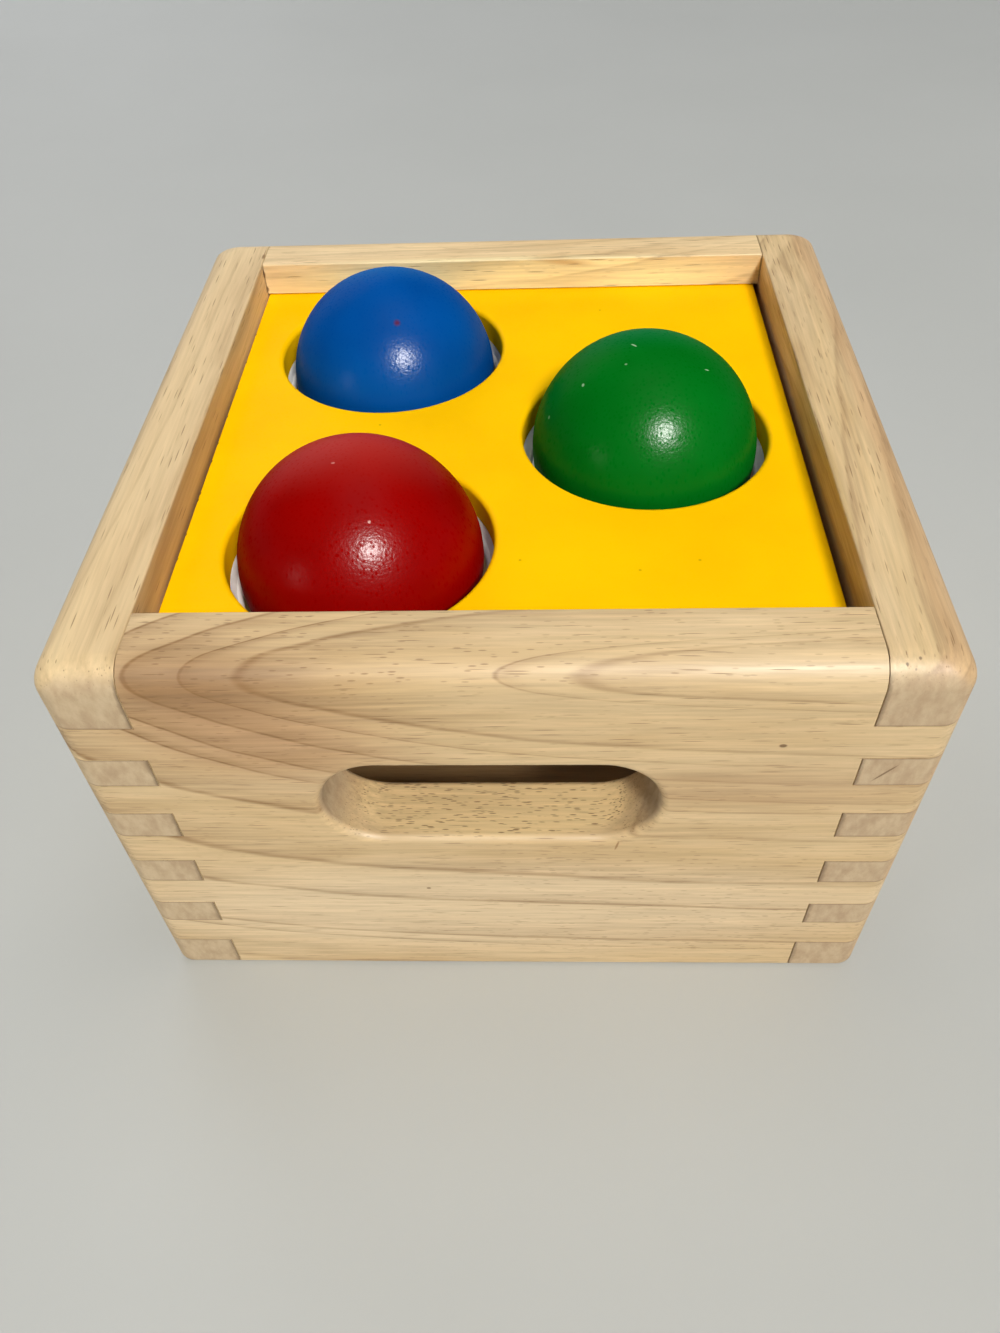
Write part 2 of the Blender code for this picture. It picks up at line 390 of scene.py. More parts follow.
@dataclass(frozen=True)
class FingerRow:
    """Where a board's end-grain fingers are, for the glue that darkens their edges."""

    start: float  # distance from the middle of the box, along the grain, at which the fingers start
    shoulder: float  # distance of the fingers' roots from the middle of the box, across the grain
    middle: float  # height of the middle of one finger
    half: float  # half of a finger's height
    pitch: float
    low: float  # height below which the lowest finger has no edge
    high: float  # height above which the highest finger has no edge


@dataclass(frozen=True)
class Rubberwood(Finish):
    """Sanded rubberwood under a thin clear lacquer.

    Growth rings are cylinders round the tree's middle line, so that faces, round edges and end grain of
    one board agree. The eye sees pale straw wood, soft brown ring lines that sweep towards one end,
    fine fibres, short dark vessel lines, and greyer end grain that drank more lacquer.
    """

    grain: Grain
    pith: Point2  # middle line of the tree, across the grain and up
    pale: str = "#dac39b"  # sRGB hex colour of the early wood
    tan: str = "#c6aa7c"  # sRGB hex colour of the darker patches
    ring: float = 5.0 * MM  # distance between growth rings
    years: tuple[float, ...] = ()  # radius of each growth ring, where the board shows its own
    uneven: float = 1.4  # number of rings by which the rings drift
    ring_share: float = 0.42  # share of the ring lines' brown
    band: float = 0.6  # part of that share in the slow darkening before a ring's thin line
    band_spread: Point2 = (1.0, 1.0)  # strength of that slow darkening away from the sweep and in it
    line: float = 0.14  # width of a ring's thin line, as a share of the ring
    sweep: float = 0.0  # how far the rings are pushed out at the board's swept end
    sweep_start: float = -80.0 * MM  # place of the swept end along the grain
    sweep_length: float = 40.0 * MM  # length in which the sweep dies out to about a third
    sweep_radius: float = 70.0 * MM  # ring radius at which the sweep is full
    sweep_share: float = 0.0  # share of the ring lines' brown that the swept end adds
    heart: float = 0.0  # ring radius below which the browner heartwood lies
    fingers: FingerRow | None = None  # box-joint fingers at the board's ends
    streak: float = 1.0  # contrast of the fibres
    vessel: float = 4.5 * MM  # length of a short vessel's cell along the grain
    hairline: float = 0.8 * MM  # width of a long vessel's cell across the grain
    pores: float = 0.4  # share of the short vessels' brown
    planed: float = 0.3  # further share of it on faces that look up
    seed: float = 0.0  # number that makes the board's pattern its own
    patches: tuple[Mark, ...] = ()  # paler or browner patches under its grain lines: the board's own wood, and painted light and shade
    cuts: tuple[Mark, ...] = ()  # routed places: their colour, under the grain lines, with all pores open
    marks: tuple[Mark, ...] = ()  # blemishes of the board, over its grain lines

    def dress(self, tree: Tree, shader: Node) -> None:
        """Connect the board's wood to its shader."""
        BoardNodes(self, tree).connect(shader)


@dataclass
class BoardNodes:
    """Nodes of one rubberwood board, on the coordinates and noises that its patterns share."""

    wood: Rubberwood
    tree: Tree

    HEART = "#bd986f"
    RING_LINE = "#8a6842"
    VESSEL = "#7a5b3a"
    END_LIGHT = "#bda98b"
    END_DARK = "#a89175"
    GLUE = "#59432b"

    # Cells of the noises in millimetres, along the grain and across it.
    DRIFT = (142.857, 27.7778, 27.7778)
    FIBRE = (18.1818, 0.666667, 0.666667)
    STREAK = (55.5556, 2.38095, 2.38095)
    PATCH = (83.3333, 16.6667, 16.6667)
    MOTTLE = (1.81818, 1.81818, 3.84615)
    DRIFT_DEPTH = (0.0, 5.0 * MM, 5.0 * MM)

    # Vessels: cells, and the distances from their middle, in cells, up to which they are full and seen.
    SHORT_WIDTH = 0.75 * MM
    SHORT_EDGE = (0.12, 0.24)
    LONG_LENGTH = 15.0 * MM
    LONG_EDGE = (0.08, 0.20)
    LONG_SHARE = 0.65
    ROUTED_CELL = (3.0 * MM, 0.6 * MM)
    ROUTED_EDGE = (0.16, 0.30)
    DENSE_SPAN = (0.42, 0.62)  # short vessels gather where the patch noise is high
    DENSE_SHARE = (0.12, 0.6)
    UPWARD_SPAN = (0.2, 0.7)  # how far a face looks up before it shows as planed

    SWEEP_DEPTH = 90.0 * MM  # ring radius in which the sweep dies out to about a third
    YEAR_SCALE = 0.45  # cells of the noise to one year: wide and narrow years take turns
    YEAR_DRIFT = 3.0
    DARK_START, DARK_END = 0.2, 0.88  # part of a year in which the wood darkens
    BOLD_SPAN = (0.35, 0.65)  # values of the patch noise at which the ring lines are faint and bold
    FAINT = 0.4  # share of the ring lines that is left where they fade
    BROKEN = (0.55, 1.25)  # how far the fibres thin and strengthen the ring lines
    STREAK_TONES = (0.04, 0.06)  # how much lighter and darker the streaks are
    FIBRE_TONES = (0.12, 0.15)
    HEART_EDGE = 1.5 * MM
    HEART_SHARE = 0.6
    END_TURN = (0.6, 0.98)  # how squarely a face cuts the grain before it shows as end grain
    END_SHARE = 0.85
    END_SPAN = (0.36, 0.64)
    GLUE_ROOT, GLUE_ROOT_SHARE = 1.7 * MM, 0.85
    GLUE_EDGE, GLUE_EDGE_SHARE = 0.55 * MM, 0.6
    ROUGH = (0.46, 0.60)
    RELIEF, RELIEF_SHARE, VESSEL_DEPTH = 0.06 * MM, 0.5, 2.0
    LACQUER_IOR, LACQUER_SPECULAR = 1.46, 0.2

    def __post_init__(self) -> None:
        """Make the coordinates and noises that the patterns share."""
        turn = (0.0, 0.0, self.wood.grain.value)
        self.place = add(self.tree, "ShaderNodeTexCoord")
        self.board = add(self.tree, "ShaderNodeMapping", {"Vector": self.place, "Rotation": turn})
        self.swayed = self.drifted()
        self.fibre = self.noise(self.swayed, self.FIBRE, 5.0)
        self.patch = self.noise(self.swayed, self.PATCH, 3.0)
        self.mottle = self.noise(self.place, self.MOTTLE, 5.0)
        self.radius = self.pith_distance()
        self.swept = self.sweep_share()
        self.end = self.end_share()

    def connect(self, shader: Node) -> None:
        """Connect the board's colour, roughness and relief to its shader.

        Args:
            shader: Principled shader of the material.
        """
        tree, vessels = self.tree, self.vessels()
        height = add(tree, "ShaderNodeMath", (vessels, -self.VESSEL_DEPTH, self.fibre),
                     operation="MULTIPLY_ADD")
        relief = {"Height": height, "Strength": self.RELIEF_SHARE, "Distance": self.RELIEF}
        feed(tree, shader, {
            "Base Color": self.colour(vessels),
            "Roughness": add(tree, "ShaderNodeMapRange", (self.fibre, *NOISE, *self.ROUGH)),
            "Normal": add(tree, "ShaderNodeBump", relief),
            "IOR": self.LACQUER_IOR,
            "Specular IOR Level": self.LACQUER_SPECULAR,
        })

    def colour(self, vessels: Socket) -> Socket:
        """Colour of the board, from the bare wood up to its blemishes.

        Args:
            vessels: Share of the vessel colour.

        Returns:
            The colour.
        """
        wood, tree = self.wood, self.tree
        colour = blemished(tree, self.place, self.toned(), wood.patches + wood.cuts)
        colour = add(tree, "ShaderNodeMix", {0: self.ring_line(), 6: colour, 7: linear(self.RING_LINE)})
        colour = add(tree, "ShaderNodeMix", {0: vessels, 6: self.streaked(colour), 7: linear(self.VESSEL)})
        grey = mottled(tree, self.mottle, self.END_SPAN, self.END_LIGHT, self.END_DARK)
        colour = add(tree, "ShaderNodeMix", {0: self.end, 6: colour, 7: grey})
        if wood.fingers:
            colour = add(tree, "ShaderNodeMix", {0: self.glue(wood.fingers), 6: colour, 7: linear(self.GLUE)})
        return blemished(tree, self.place, colour, wood.marks)

    def noise(self, place: Socket, cell: Point3, detail: float, rough: float = 0.6, out: str = "Fac") -> Socket:
        """Noise of the board's own seed.

        Args:
            place: Coordinates that it lies in.
            cell: Size of its cells in millimetres.
            detail: Number of finer layers on it.
            rough: Strength of each finer layer.
            out: Output of the noise that is used.

        Returns:
            The noise.
        """
        scale = tuple(1 / (size * MM) for size in cell)
        where = add(self.tree, "ShaderNodeVectorMath", (place, scale), operation="MULTIPLY")
        inputs = {"Vector": where, "W": self.wood.seed, "Scale": 1.0, "Detail": detail, "Roughness": rough}
        return add(self.tree, "ShaderNodeTexNoise", inputs, out, noise_dimensions="4D")

    def drifted(self) -> Socket:
        """Board coordinates that drift from a straight line, slowly along the grain and faster across it."""
        drift = self.noise(self.board, self.DRIFT, 2.0, 0.5, "Color")
        return add(self.tree, "ShaderNodeVectorMath", (drift, self.DRIFT_DEPTH, self.board),
                   operation="MULTIPLY_ADD")

    def pith_distance(self) -> Socket:
        """Distance from the tree's middle line, without the sweep.

        Returns:
            The distance.
        """
        tree, pith, across = self.tree, (0.0, *self.wood.pith), (0.0, 1.0, 1.0)
        offset = add(tree, "ShaderNodeVectorMath", (self.swayed, pith), operation="SUBTRACT")
        offset = add(tree, "ShaderNodeVectorMath", (offset, across), operation="MULTIPLY")
        return add(tree, "ShaderNodeVectorMath", (offset,), "Value", operation="LENGTH")

    def sweep_share(self) -> Socket:
        """Share of the sweep, which dies out along the grain and away from the pith.

        Returns:
            The share.
        """
        wood, tree = self.wood, self.tree
        along = add(tree, "ShaderNodeSeparateXYZ", (self.board,))
        decays = []
        for value, start, length in ((along, wood.sweep_start, wood.sweep_length),
                                     (self.radius, wood.sweep_radius, self.SWEEP_DEPTH)):
            decays.append(add(tree, "ShaderNodeMath", (value, -1 / length, start / length),
                              operation="MULTIPLY_ADD"))
        decay = add(tree, "ShaderNodeMath", (decays[0], decays[1]), operation="ADD")
        return add(tree, "ShaderNodeMath", (decay,), operation="EXPONENT")

    def end_share(self) -> Socket:
        """Share of end grain, from how squarely the surface cuts across the grain.

        Returns:
            The share.
        """
        tree = self.tree
        axis = (1.0, 0.0, 0.0) if self.wood.grain is Grain.ALONG_X else (0.0, 1.0, 0.0)
        normal = add(tree, "ShaderNodeNewGeometry")
        facing = add(tree, "ShaderNodeVectorMath", (normal, axis), "Value", operation="DOT_PRODUCT")
        facing = add(tree, "ShaderNodeMath", (facing,), operation="ABSOLUTE")
        return add(tree, "ShaderNodeMapRange", (facing, *self.END_TURN, 0.0, self.END_SHARE), **SMOOTH)

    def dashes(self, cell: Point2, edge: Point2) -> Socket:
        """Dashes along the grain, one in each cell.

        Args:
            cell: Length and width of a cell.
            edge: Distances from a dash's middle, in cells, up to which it is full and seen.

        Returns:
            1 in the dashes and 0 beside them.
        """
        scale = (1 / cell[0], 1 / cell[1], 1 / cell[1])
        where = add(self.tree, "ShaderNodeVectorMath", (self.swayed, scale), operation="MULTIPLY")
        near = add(self.tree, "ShaderNodeTexVoronoi", {"Vector": where, "Scale": 1.0})
        return add(self.tree, "ShaderNodeMapRange", (near, *edge, 1.0, 0.0), **SMOOTH)

    def vessels(self) -> Socket:
        """Dark lines of the wood's vessels: short ones in patches and on top faces, and long hairlines.

        Real vessels are 0.2 mm wide. They are drawn about 0.3 mm wide, so that they hold in a picture.

        Returns:
            Share of the vessel colour.
        """
        wood, tree = self.wood, self.tree
        dense = add(tree, "ShaderNodeMapRange", (self.patch, *self.DENSE_SPAN, *self.DENSE_SHARE))
        normal = add(tree, "ShaderNodeNewGeometry")
        upward = add(tree, "ShaderNodeSeparateXYZ", (normal,), 2)
        planed = add(tree, "ShaderNodeMapRange", (upward, *self.UPWARD_SPAN, 0.0, wood.planed))
        opened = [mark_share(tree, self.place, cut) for cut in wood.cuts]
        for more in (planed, *opened):
            dense = add(tree, "ShaderNodeMath", (dense, more), operation="ADD")
        dense = add(tree, "ShaderNodeMath", (dense, wood.pores), operation="MULTIPLY")
        layers = [(self.dashes((wood.vessel, self.SHORT_WIDTH), self.SHORT_EDGE), dense),
                  (self.dashes((self.LONG_LENGTH, wood.hairline), self.LONG_EDGE), self.LONG_SHARE)]
        layers += [(self.dashes(self.ROUTED_CELL, self.ROUTED_EDGE), share) for share in opened]
        lines = 0.0
        for dashes, share in layers:
            layer = add(tree, "ShaderNodeMath", (dashes, share), operation="MULTIPLY")
            lines = add(tree, "ShaderNodeMath", (lines, layer), operation="MAXIMUM")
        return lines

    def toned(self) -> Socket:
        """Pale wood with tan patches, and browner heartwood near the pith.

        Returns:
            The colour.
        """
        wood, tree = self.wood, self.tree
        plain = mottled(tree, self.patch, NOISE, wood.pale, wood.tan)
        edge = (wood.heart, wood.heart + self.HEART_EDGE, self.HEART_SHARE, 0.0)
        browner = add(tree, "ShaderNodeMapRange", (self.radius, *edge), **SMOOTH)
        return add(tree, "ShaderNodeMix", {0: browner, 6: plain, 7: linear(self.HEART)})

    def turns(self, radius: Socket) -> Socket:
        """Number of growth rings out from the pith.

        Args:
            radius: Distance from the pith, with the sweep.

        Returns:
            A number that passes a whole number at each ring: uneven years, or the board's own.
        """
        wood, tree = self.wood, self.tree
        if not wood.years:
            count = add(tree, "ShaderNodeMath", (radius, wood.ring), operation="DIVIDE")
            growth = add(tree, "ShaderNodeTexNoise", {"W": count, "Scale": self.YEAR_SCALE, "Detail": 1.0},
                         noise_dimensions="1D")
            return add(tree, "ShaderNodeMath", (growth, self.YEAR_DRIFT, count), operation="MULTIPLY_ADD")
        first, last, count = wood.years[0], wood.years[-1], len(wood.years) - 1
        share = add(tree, "ShaderNodeMapRange", (radius, first, last))
        passed = add(tree, "ShaderNodeFloatCurve", {1: share})
        mapping = passed.node.mapping
        for number, year in enumerate(wood.years[1:-1], 1):
            point = mapping.curves[0].points.new((year - first) / (last - first), number / count)
            point.handle_type = "AUTO_CLAMPED"
        mapping.update()
        return add(tree, "ShaderNodeMath", (passed, count, -wood.uneven / 2), operation="MULTIPLY_ADD")

    def ring_line(self) -> Socket:
        """Share of the ring lines: each year darkens slowly, ends in a thin line and starts pale again.

        Returns:
            Share of the ring lines' brown, which the fibres break up.
        """
        wood, tree, end = self.wood, self.tree, self.DARK_END
        radius = add(tree, "ShaderNodeMath", (self.swept, wood.sweep, self.radius), operation="MULTIPLY_ADD")
        year = add(tree, "ShaderNodeMath", (self.patch, wood.uneven, self.turns(radius)),
                   operation="MULTIPLY_ADD")
        phase = add(tree, "ShaderNodeMath", (year,), operation="FRACT")
        spans = ((self.DARK_START, end, 0.0, wood.band), (end - wood.line, end, 0.0, 1.0 - wood.band),
                 (end, min(1.0, end + wood.line), 1.0, 0.0))
        slow, thin, fall = (add(tree, "ShaderNodeMapRange", (phase, *span), **SMOOTH) for span in spans)
        broad = add(tree, "ShaderNodeMapRange", (self.swept, 0.0, 1.0, *wood.band_spread))
        line = add(tree, "ShaderNodeMath", (slow, broad, thin), operation="MULTIPLY_ADD")
        line = add(tree, "ShaderNodeMath", (line, fall), operation="MULTIPLY")
        shares = (self.FAINT * wood.ring_share, wood.ring_share)
        bold = add(tree, "ShaderNodeMapRange", (self.patch, *self.BOLD_SPAN, *shares))
        bold = add(tree, "ShaderNodeMath", (self.swept, wood.sweep_share, bold), operation="MULTIPLY_ADD")
        broken = add(tree, "ShaderNodeMapRange", (self.fibre, *NOISE, *self.BROKEN))
        bold = add(tree, "ShaderNodeMath", (bold, broken), operation="MULTIPLY")
        return add(tree, "ShaderNodeMath", (line, bold), operation="MULTIPLY", use_clamp=True)

    def streaked(self, colour: Socket) -> Socket:
        """Fibres as fine light and dark streaks, with broader streaks under them.

        Args:
            colour: Colour of the wood.

        Returns:
            The colour with its fibres.
        """
        contrast = self.wood.streak
        broad = self.noise(self.swayed, self.STREAK, 3.0)
        for noise, (light, dark) in ((broad, self.STREAK_TONES), (self.fibre, self.FIBRE_TONES)):
            tones = (1.0 + light * contrast, 1.0 - dark * contrast)
            tone = add(self.tree, "ShaderNodeMapRange", (noise, *NOISE, *tones))
            colour = add(self.tree, "ShaderNodeVectorMath", {0: colour, 3: tone}, operation="SCALE")
        return colour

    def glue(self, row: FingerRow) -> Socket:
        """Ragged dark glue along the root and the long edges of each finger.

        Args:
            row: Where the fingers are.

        Returns:
            Share of the glue's brown.
        """
        tree = self.tree
        along, across, height = add(tree, "ShaderNodeSeparateXYZ", (self.board,)).node.outputs
        across = add(tree, "ShaderNodeMath", (across,), operation="ABSOLUTE")
        ragged = add(tree, "ShaderNodeMath", (self.mottle, self.GLUE_ROOT, row.shoulder),
                     operation="MULTIPLY_ADD")
        root = add(tree, "ShaderNodeMapRange", (across, row.shoulder, ragged, self.GLUE_ROOT_SHARE, 0.0))
        height = add(tree, "ShaderNodeClamp", (height, row.low, row.high))
        height = add(tree, "ShaderNodeMath", (height, row.middle), operation="SUBTRACT")
        height = add(tree, "ShaderNodeMath", (height, row.pitch / 2), operation="PINGPONG")
        span = (row.half - self.GLUE_EDGE, row.half, 0.0, self.GLUE_EDGE_SHARE)
        edge = add(tree, "ShaderNodeMapRange", (height, *span))
        stain = add(tree, "ShaderNodeMath", (root, edge), operation="MAXIMUM")
        along = add(tree, "ShaderNodeMath", (along,), operation="ABSOLUTE")
        jointed = add(tree, "ShaderNodeMath", (along, row.start), operation="GREATER_THAN")
        for part in (self.end, jointed):
            stain = add(tree, "ShaderNodeMath", (stain, part), operation="MULTIPLY")
        return stain


@dataclass(frozen=True)
class WoodPaint(Finish):
    """Satin paint sprayed on turned or sawn wood.

    The eye sees one strong colour with a soft, grainy highlight, in which the wood's pores stay dark
    because the thin coat sinks into them.
    """

    colour: str  # sRGB hex colour of the paint
    shade: str  # sRGB hex colour where the coat is thicker
    rough: float = 0.28  # roughness of the clear coat
    gloss: float = 0.14  # weight of the clear coat
    relief: float = 0.065 * MM  # depth of the clear coat's grain
    marks: tuple[Mark, ...] = ()  # chips, dots and scratches, and painted light on a ball's top

    CLOUD = 1 / (18.1818 * MM)
    CLOUD_SPAN = (0.35, 0.7)
    GRAIN = 1 / (0.65 * MM)
    PORE = (1 / (0.9 * MM), 1 / (0.9 * MM), 1 / (2.4 * MM))
    PORE_EDGE = (0.2, 0.32)  # distances from a pore's middle, in cells, at which it is open and closed
    PORE_GLOSS = 0.12  # share of the gloss that a pore keeps
    BASE_ROUGH = (0.5, 0.65)
    COAT_IOR = 1.45

    def dress(self, tree: Tree, shader: Node) -> None:
        """Lay the colour, and over it a clear coat with pores.

        Args:
            tree: Material's node tree.
            shader: Principled shader of the material.
        """
        place = add(tree, "ShaderNodeTexCoord")
        cloud = add(tree, "ShaderNodeTexNoise", {"Vector": place, "Scale": self.CLOUD, "Detail": 3.0})
        grain = add(tree, "ShaderNodeTexNoise", {"Vector": place, "Scale": self.GRAIN, "Detail": 2.0})
        coat = mottled(tree, cloud, self.CLOUD_SPAN, self.colour, self.shade)
        where = add(tree, "ShaderNodeVectorMath", (place, self.PORE), operation="MULTIPLY")
        near = add(tree, "ShaderNodeTexVoronoi", {"Vector": where, "Scale": 1.0})
        gloss = (self.PORE_GLOSS * self.gloss, self.gloss)
        bump = {"Height": grain, "Strength": 1.0, "Distance": self.relief}
        feed(tree, shader, {
            "Base Color": blemished(tree, place, coat, self.marks),
            "Roughness": add(tree, "ShaderNodeMapRange", (cloud, *NOISE, *self.BASE_ROUGH)),
            "Specular IOR Level": 0.0,
            "Coat Weight": add(tree, "ShaderNodeMapRange", (near, *self.PORE_EDGE, *gloss)),
            "Coat Normal": add(tree, "ShaderNodeBump", bump),
            "Coat Roughness": self.rough,
            "Coat IOR": self.COAT_IOR,
        })


@dataclass(frozen=True)
class WhiteElastomer(Finish):
    """Moulded white elastomer of the seat rings.

    The eye sees a soft off-white with a dull sheen and faint grey handling marks.
    """

    name: str = "moulded_white_elastomer"
    white: str = "#e6e4de"  # sRGB hex colour of the rubber
    grey: str = "#c3c1ba"  # sRGB hex colour of handling marks

    CLOUD = 1 / (8.33333 * MM)
    CLOUD_SPAN = (0.4, 0.75)
    ROUGH = (0.42, 0.6)
    IOR = 1.43

    def dress(self, tree: Tree, shader: Node) -> None:
        """Lay the clouded white with its dull sheen.

        Args:
            tree: Material's node tree.
            shader: Principled shader of the material.
        """
        place = add(tree, "ShaderNodeTexCoord")
        cloud = add(tree, "ShaderNodeTexNoise", {"Vector": place, "Scale": self.CLOUD, "Detail": 4.0})
        feed(tree, shader, {
            "Base Color": mottled(tree, cloud, self.CLOUD_SPAN, self.white, self.grey),
            "Roughness": add(tree, "ShaderNodeMapRange", (cloud, *NOISE, *self.ROUGH)),
            "IOR": self.IOR,
        })


@dataclass(frozen=True)
class PaleTable(Finish):
    """Matt laminate of the table that the box stands on: even pale grey with a faint mottle."""

    name: str = "matt_grey_laminate"
    light: str = "#b3b5b2"  # sRGB hex colour of the laminate
    dark: str = "#adafac"  # sRGB hex colour of its mottle

    CLOUD = 1 / (111.111 * MM)
    ROUGH = 0.55
    SPECULAR = 0.2

    def dress(self, tree: Tree, shader: Node) -> None:
        """Lay the mottled grey.

        Args:
            tree: Material's node tree.
            shader: Principled shader of the material.
        """
        place = add(tree, "ShaderNodeTexCoord")
        cloud = add(tree, "ShaderNodeTexNoise", {"Vector": place, "Scale": self.CLOUD, "Detail": 4.0})
        feed(tree, shader, {
            "Base Color": mottled(tree, cloud, (0.0, 1.0), self.light, self.dark),
            "Roughness": self.ROUGH,
            "Specular IOR Level": self.SPECULAR,
        })


@dataclass(frozen=True)
class BoxSizes:
    """Sizes that the boards, the panel and the balls share."""

    width: float = 160.0 * MM
    depth: float = 158.6 * MM
    height: float = 102.0 * MM
    end_wall: float = 15.0 * MM
    side_wall: float = 15.5 * MM
    panel_top: float = 93.8 * MM
    panel_thickness: float = 14.0 * MM
    panel_tongue: float = 4.0 * MM
    fit_gap: float = 0.3 * MM
    ball_radius: float = 24.6 * MM
    hole_radius: float = 26.8 * MM
    ring_depth: float = 6.0 * MM
    ring_height: float = 5.0 * MM
    ring_groove: float = 1.8 * MM
    floor_front: float = 14.0 * MM
    floor_back: float = 7.0 * MM
    over: float = 1.0 * MM  # how far a cutter stands out of what it cuts

    @property
    def half_x(self) -> float:
        """Half of the outside width."""
        return self.width / 2

    @property
    def half_y(self) -> float:
        """Half of the outside depth."""
        return self.depth / 2

    @property
    def inner_x(self) -> float:
        """Inner face of a side wall."""
        return self.half_x - self.side_wall

    @property
    def inner_y(self) -> float:
        """Inner face of an end wall."""
        return self.half_y - self.end_wall

    @property
    def panel_bottom(self) -> float:
        """Underside of the ball panel."""
        return self.panel_top - self.panel_thickness

    def floor_height(self, y: float) -> float:
        """Height of the sloping floor's upper face at a place along the slope."""
        fall = self.floor_back - self.floor_front
        return self.floor_front + fall * (y + self.inner_y) / (self.half_y + self.inner_y)


class JointRole(Enum):
    """What a wall has at its corners, as the Boolean that makes it."""

    FINGERS = "UNION"
    SOCKETS = "DIFFERENCE"


@dataclass(frozen=True)
class Wall:
    """One wall of the box."""

    name: str
    node: str  # CAD node that it stands for
    role: JointRole
    side: int  # -1 at the front or on the left, 1 at the back or on the right
    wood: Rubberwood
    opening: Loops | None = None  # loops of the opening through it, if it has one


@dataclass
class JointedBox:
    """The four rubberwood walls with their box joints, hand slot and ball exit."""

    sizes: BoxSizes
    top_round: float = 5.7 * MM
    corner_round: float = 4.4 * MM
    bottom_round: float = 1.0 * MM
    rim_ease: float = 0.4 * MM
    fingers: int = 5
    first_finger: float = 11.0 * MM
    finger: float = 8.92 * MM
    finger_pitch: float = 16.97 * MM
    glue_gap: float = 0.14 * MM
    shoulder_gap: float = 0.20 * MM
    slot_length: float = 64.7 * MM
    slot_height: float = 23.4 * MM
    slot_middle: Point2 = (-2.5 * MM, 64.3 * MM)
    slot_ease: float = 1.8 * MM
    exit_half: float = 57.5 * MM
    exit_top: float = 59.93 * MM
    exit_corner: float = 8.0 * MM
    exit_ease: float = 0.8 * MM

    ROUND_STEPS = 10
    RIM_STEPS = 4
    EASE_STEPS = 6
    SLOT_STEPS = 28
    EXIT_STEPS = 12
    # Radius in millimetres of each growth ring on the front board.
    FRONT_YEARS = (70.0, 79.2, 80.6, 90.0, 92.5, 96.5, 101.0, 104.0, 113.0, 127.0, 137.0, 150.5, 153.0, 165.0)
    # Dark filler in the inner corner between the left and the back board.
    FILLER = (
        Mark((-64.6, 64.4, 99.5), (0.7, 0.7, 1.5), "#6b4826", 0.8),
        Mark((-64.5, 64.2, 95.3), (0.8, 0.6, 1.1), "#6b4826", 0.7),
        Mark((-64.9, 69.0, 102.0), (0.5, 1.6, 0.6), "#7b5833", 0.7),
    )

    def build(self) -> None:
        """Build, dress and carry the four walls."""
        walls = (
            Wall("front_board", "front_wall", JointRole.FINGERS, -1, self.front_wood(), self.slot_loops()),
            Wall("back_board", "back_wall", JointRole.FINGERS, 1, self.back_wood(), self.exit_loops()),
            Wall("left_board", "left_wall", JointRole.SOCKETS, -1, self.left_wood()),
            Wall("right_board", "right_wall", JointRole.SOCKETS, 1, self.right_wood()),
        )
        block = self.rounded_block()
        trees = {role: self.joint_tree(role) for role in JointRole}
        for wall in walls:
            values = self.joint_values(wall) | {"Block": block, "Material": wall.wood.build()}
            if wall.opening:
                values["Cutters"] = self.cutters(wall)
            piece = grow(self.core(wall), trees[wall.role], values)
            carry(piece, "box", wall.node)
            if wall.opening:
                remove(values["Cutters"])
        remove(block)

    def finger_row(self, role: JointRole) -> FingerRow:
        """End-grain fingers of an end wall, or of a side wall between its sockets.

        Args:
            role: Which of the two walls.

        Returns:
            The row of fingers.
        """
        sizes, first = self.sizes, self.first_finger
        gap = self.finger_pitch - self.finger
        last = first + self.finger_pitch * (self.fingers - 1) + self.finger
        if role is JointRole.FINGERS:
            return FingerRow(sizes.inner_x, sizes.inner_y, first + self.finger / 2, self.finger / 2,
                             self.finger_pitch, first, last)
        return FingerRow(sizes.inner_y, sizes.inner_x, first - gap / 2, gap / 2,
                         self.finger_pitch, first - gap / 2, last + gap / 2)

    def front_wood(self) -> Rubberwood:
        """Front board: ring lines fan out from the upper left corner and level off to the right.

        Returns:
            Its wood, with the sill of the slot painted paler for the light that falls on it, a small knot and two
            cracks.
        """
        face = -self.sizes.half_y / MM
        patches = (
            # Pinkish-brown heartwood at the upper left, partly painted shade: widened and darkened for the shade
            # that falls over the left of the front.
            Mark((-46.0, face, 88.0), (44.0, 20.0, 24.0), "#a57b59", 0.6, (0.0, 20.0, 0.0), 0.1),
            Mark((-52.0, face, 98.5), (28.0, 11.0, 10.0), "#76522f", 0.55, core=0.1),
            Mark((48.0, face, 70.0), (46.0, 20.0, 11.0), "#a98a66", 0.5, core=0.2),
            Mark((0.0, face, 25.0), (110.0, 20.0, 26.0), "#dcc7a6", 0.65, core=0.4),
        )
        # Sill of the slot: its open pores are the wood's, its paler colour is painted light on the upward face.
        sill_painted_light = Mark((-2.5, -69.7, 52.6), (38.0, 9.8, 4.0), "#ecd29c", 0.6, core=0.75)
        marks = (
            Mark((49.8, face, 82.6), (0.9, 2.0, 0.6), "#5c3f24", 0.8),
            Mark((22.3, face, 50.6), (0.3, 2.0, 1.9), "#8a6338", 0.7, (0.0, 12.0, 0.0)),
            Mark((-16.7, face, 34.1), (0.6, 2.0, 0.45), "#6a4a2c", 0.7),
        )
        return Rubberwood(
            "sanded_rubberwood_front", Grain.ALONG_X, (-129.0 * MM, 152.0 * MM), pale="#d6be96", tan="#c2a578",
            years=tuple(radius * MM for radius in self.FRONT_YEARS), uneven=0.5, ring_share=0.62, band=0.38,
            band_spread=(0.7, 2.2), line=0.08, sweep=33.0 * MM, sweep_length=54.5 * MM, sweep_share=0.45,
            fingers=self.finger_row(JointRole.FINGERS), vessel=3.8 * MM, hairline=0.62 * MM, pores=0.65,
            seed=1.7, patches=patches, cuts=(sill_painted_light,), marks=marks)

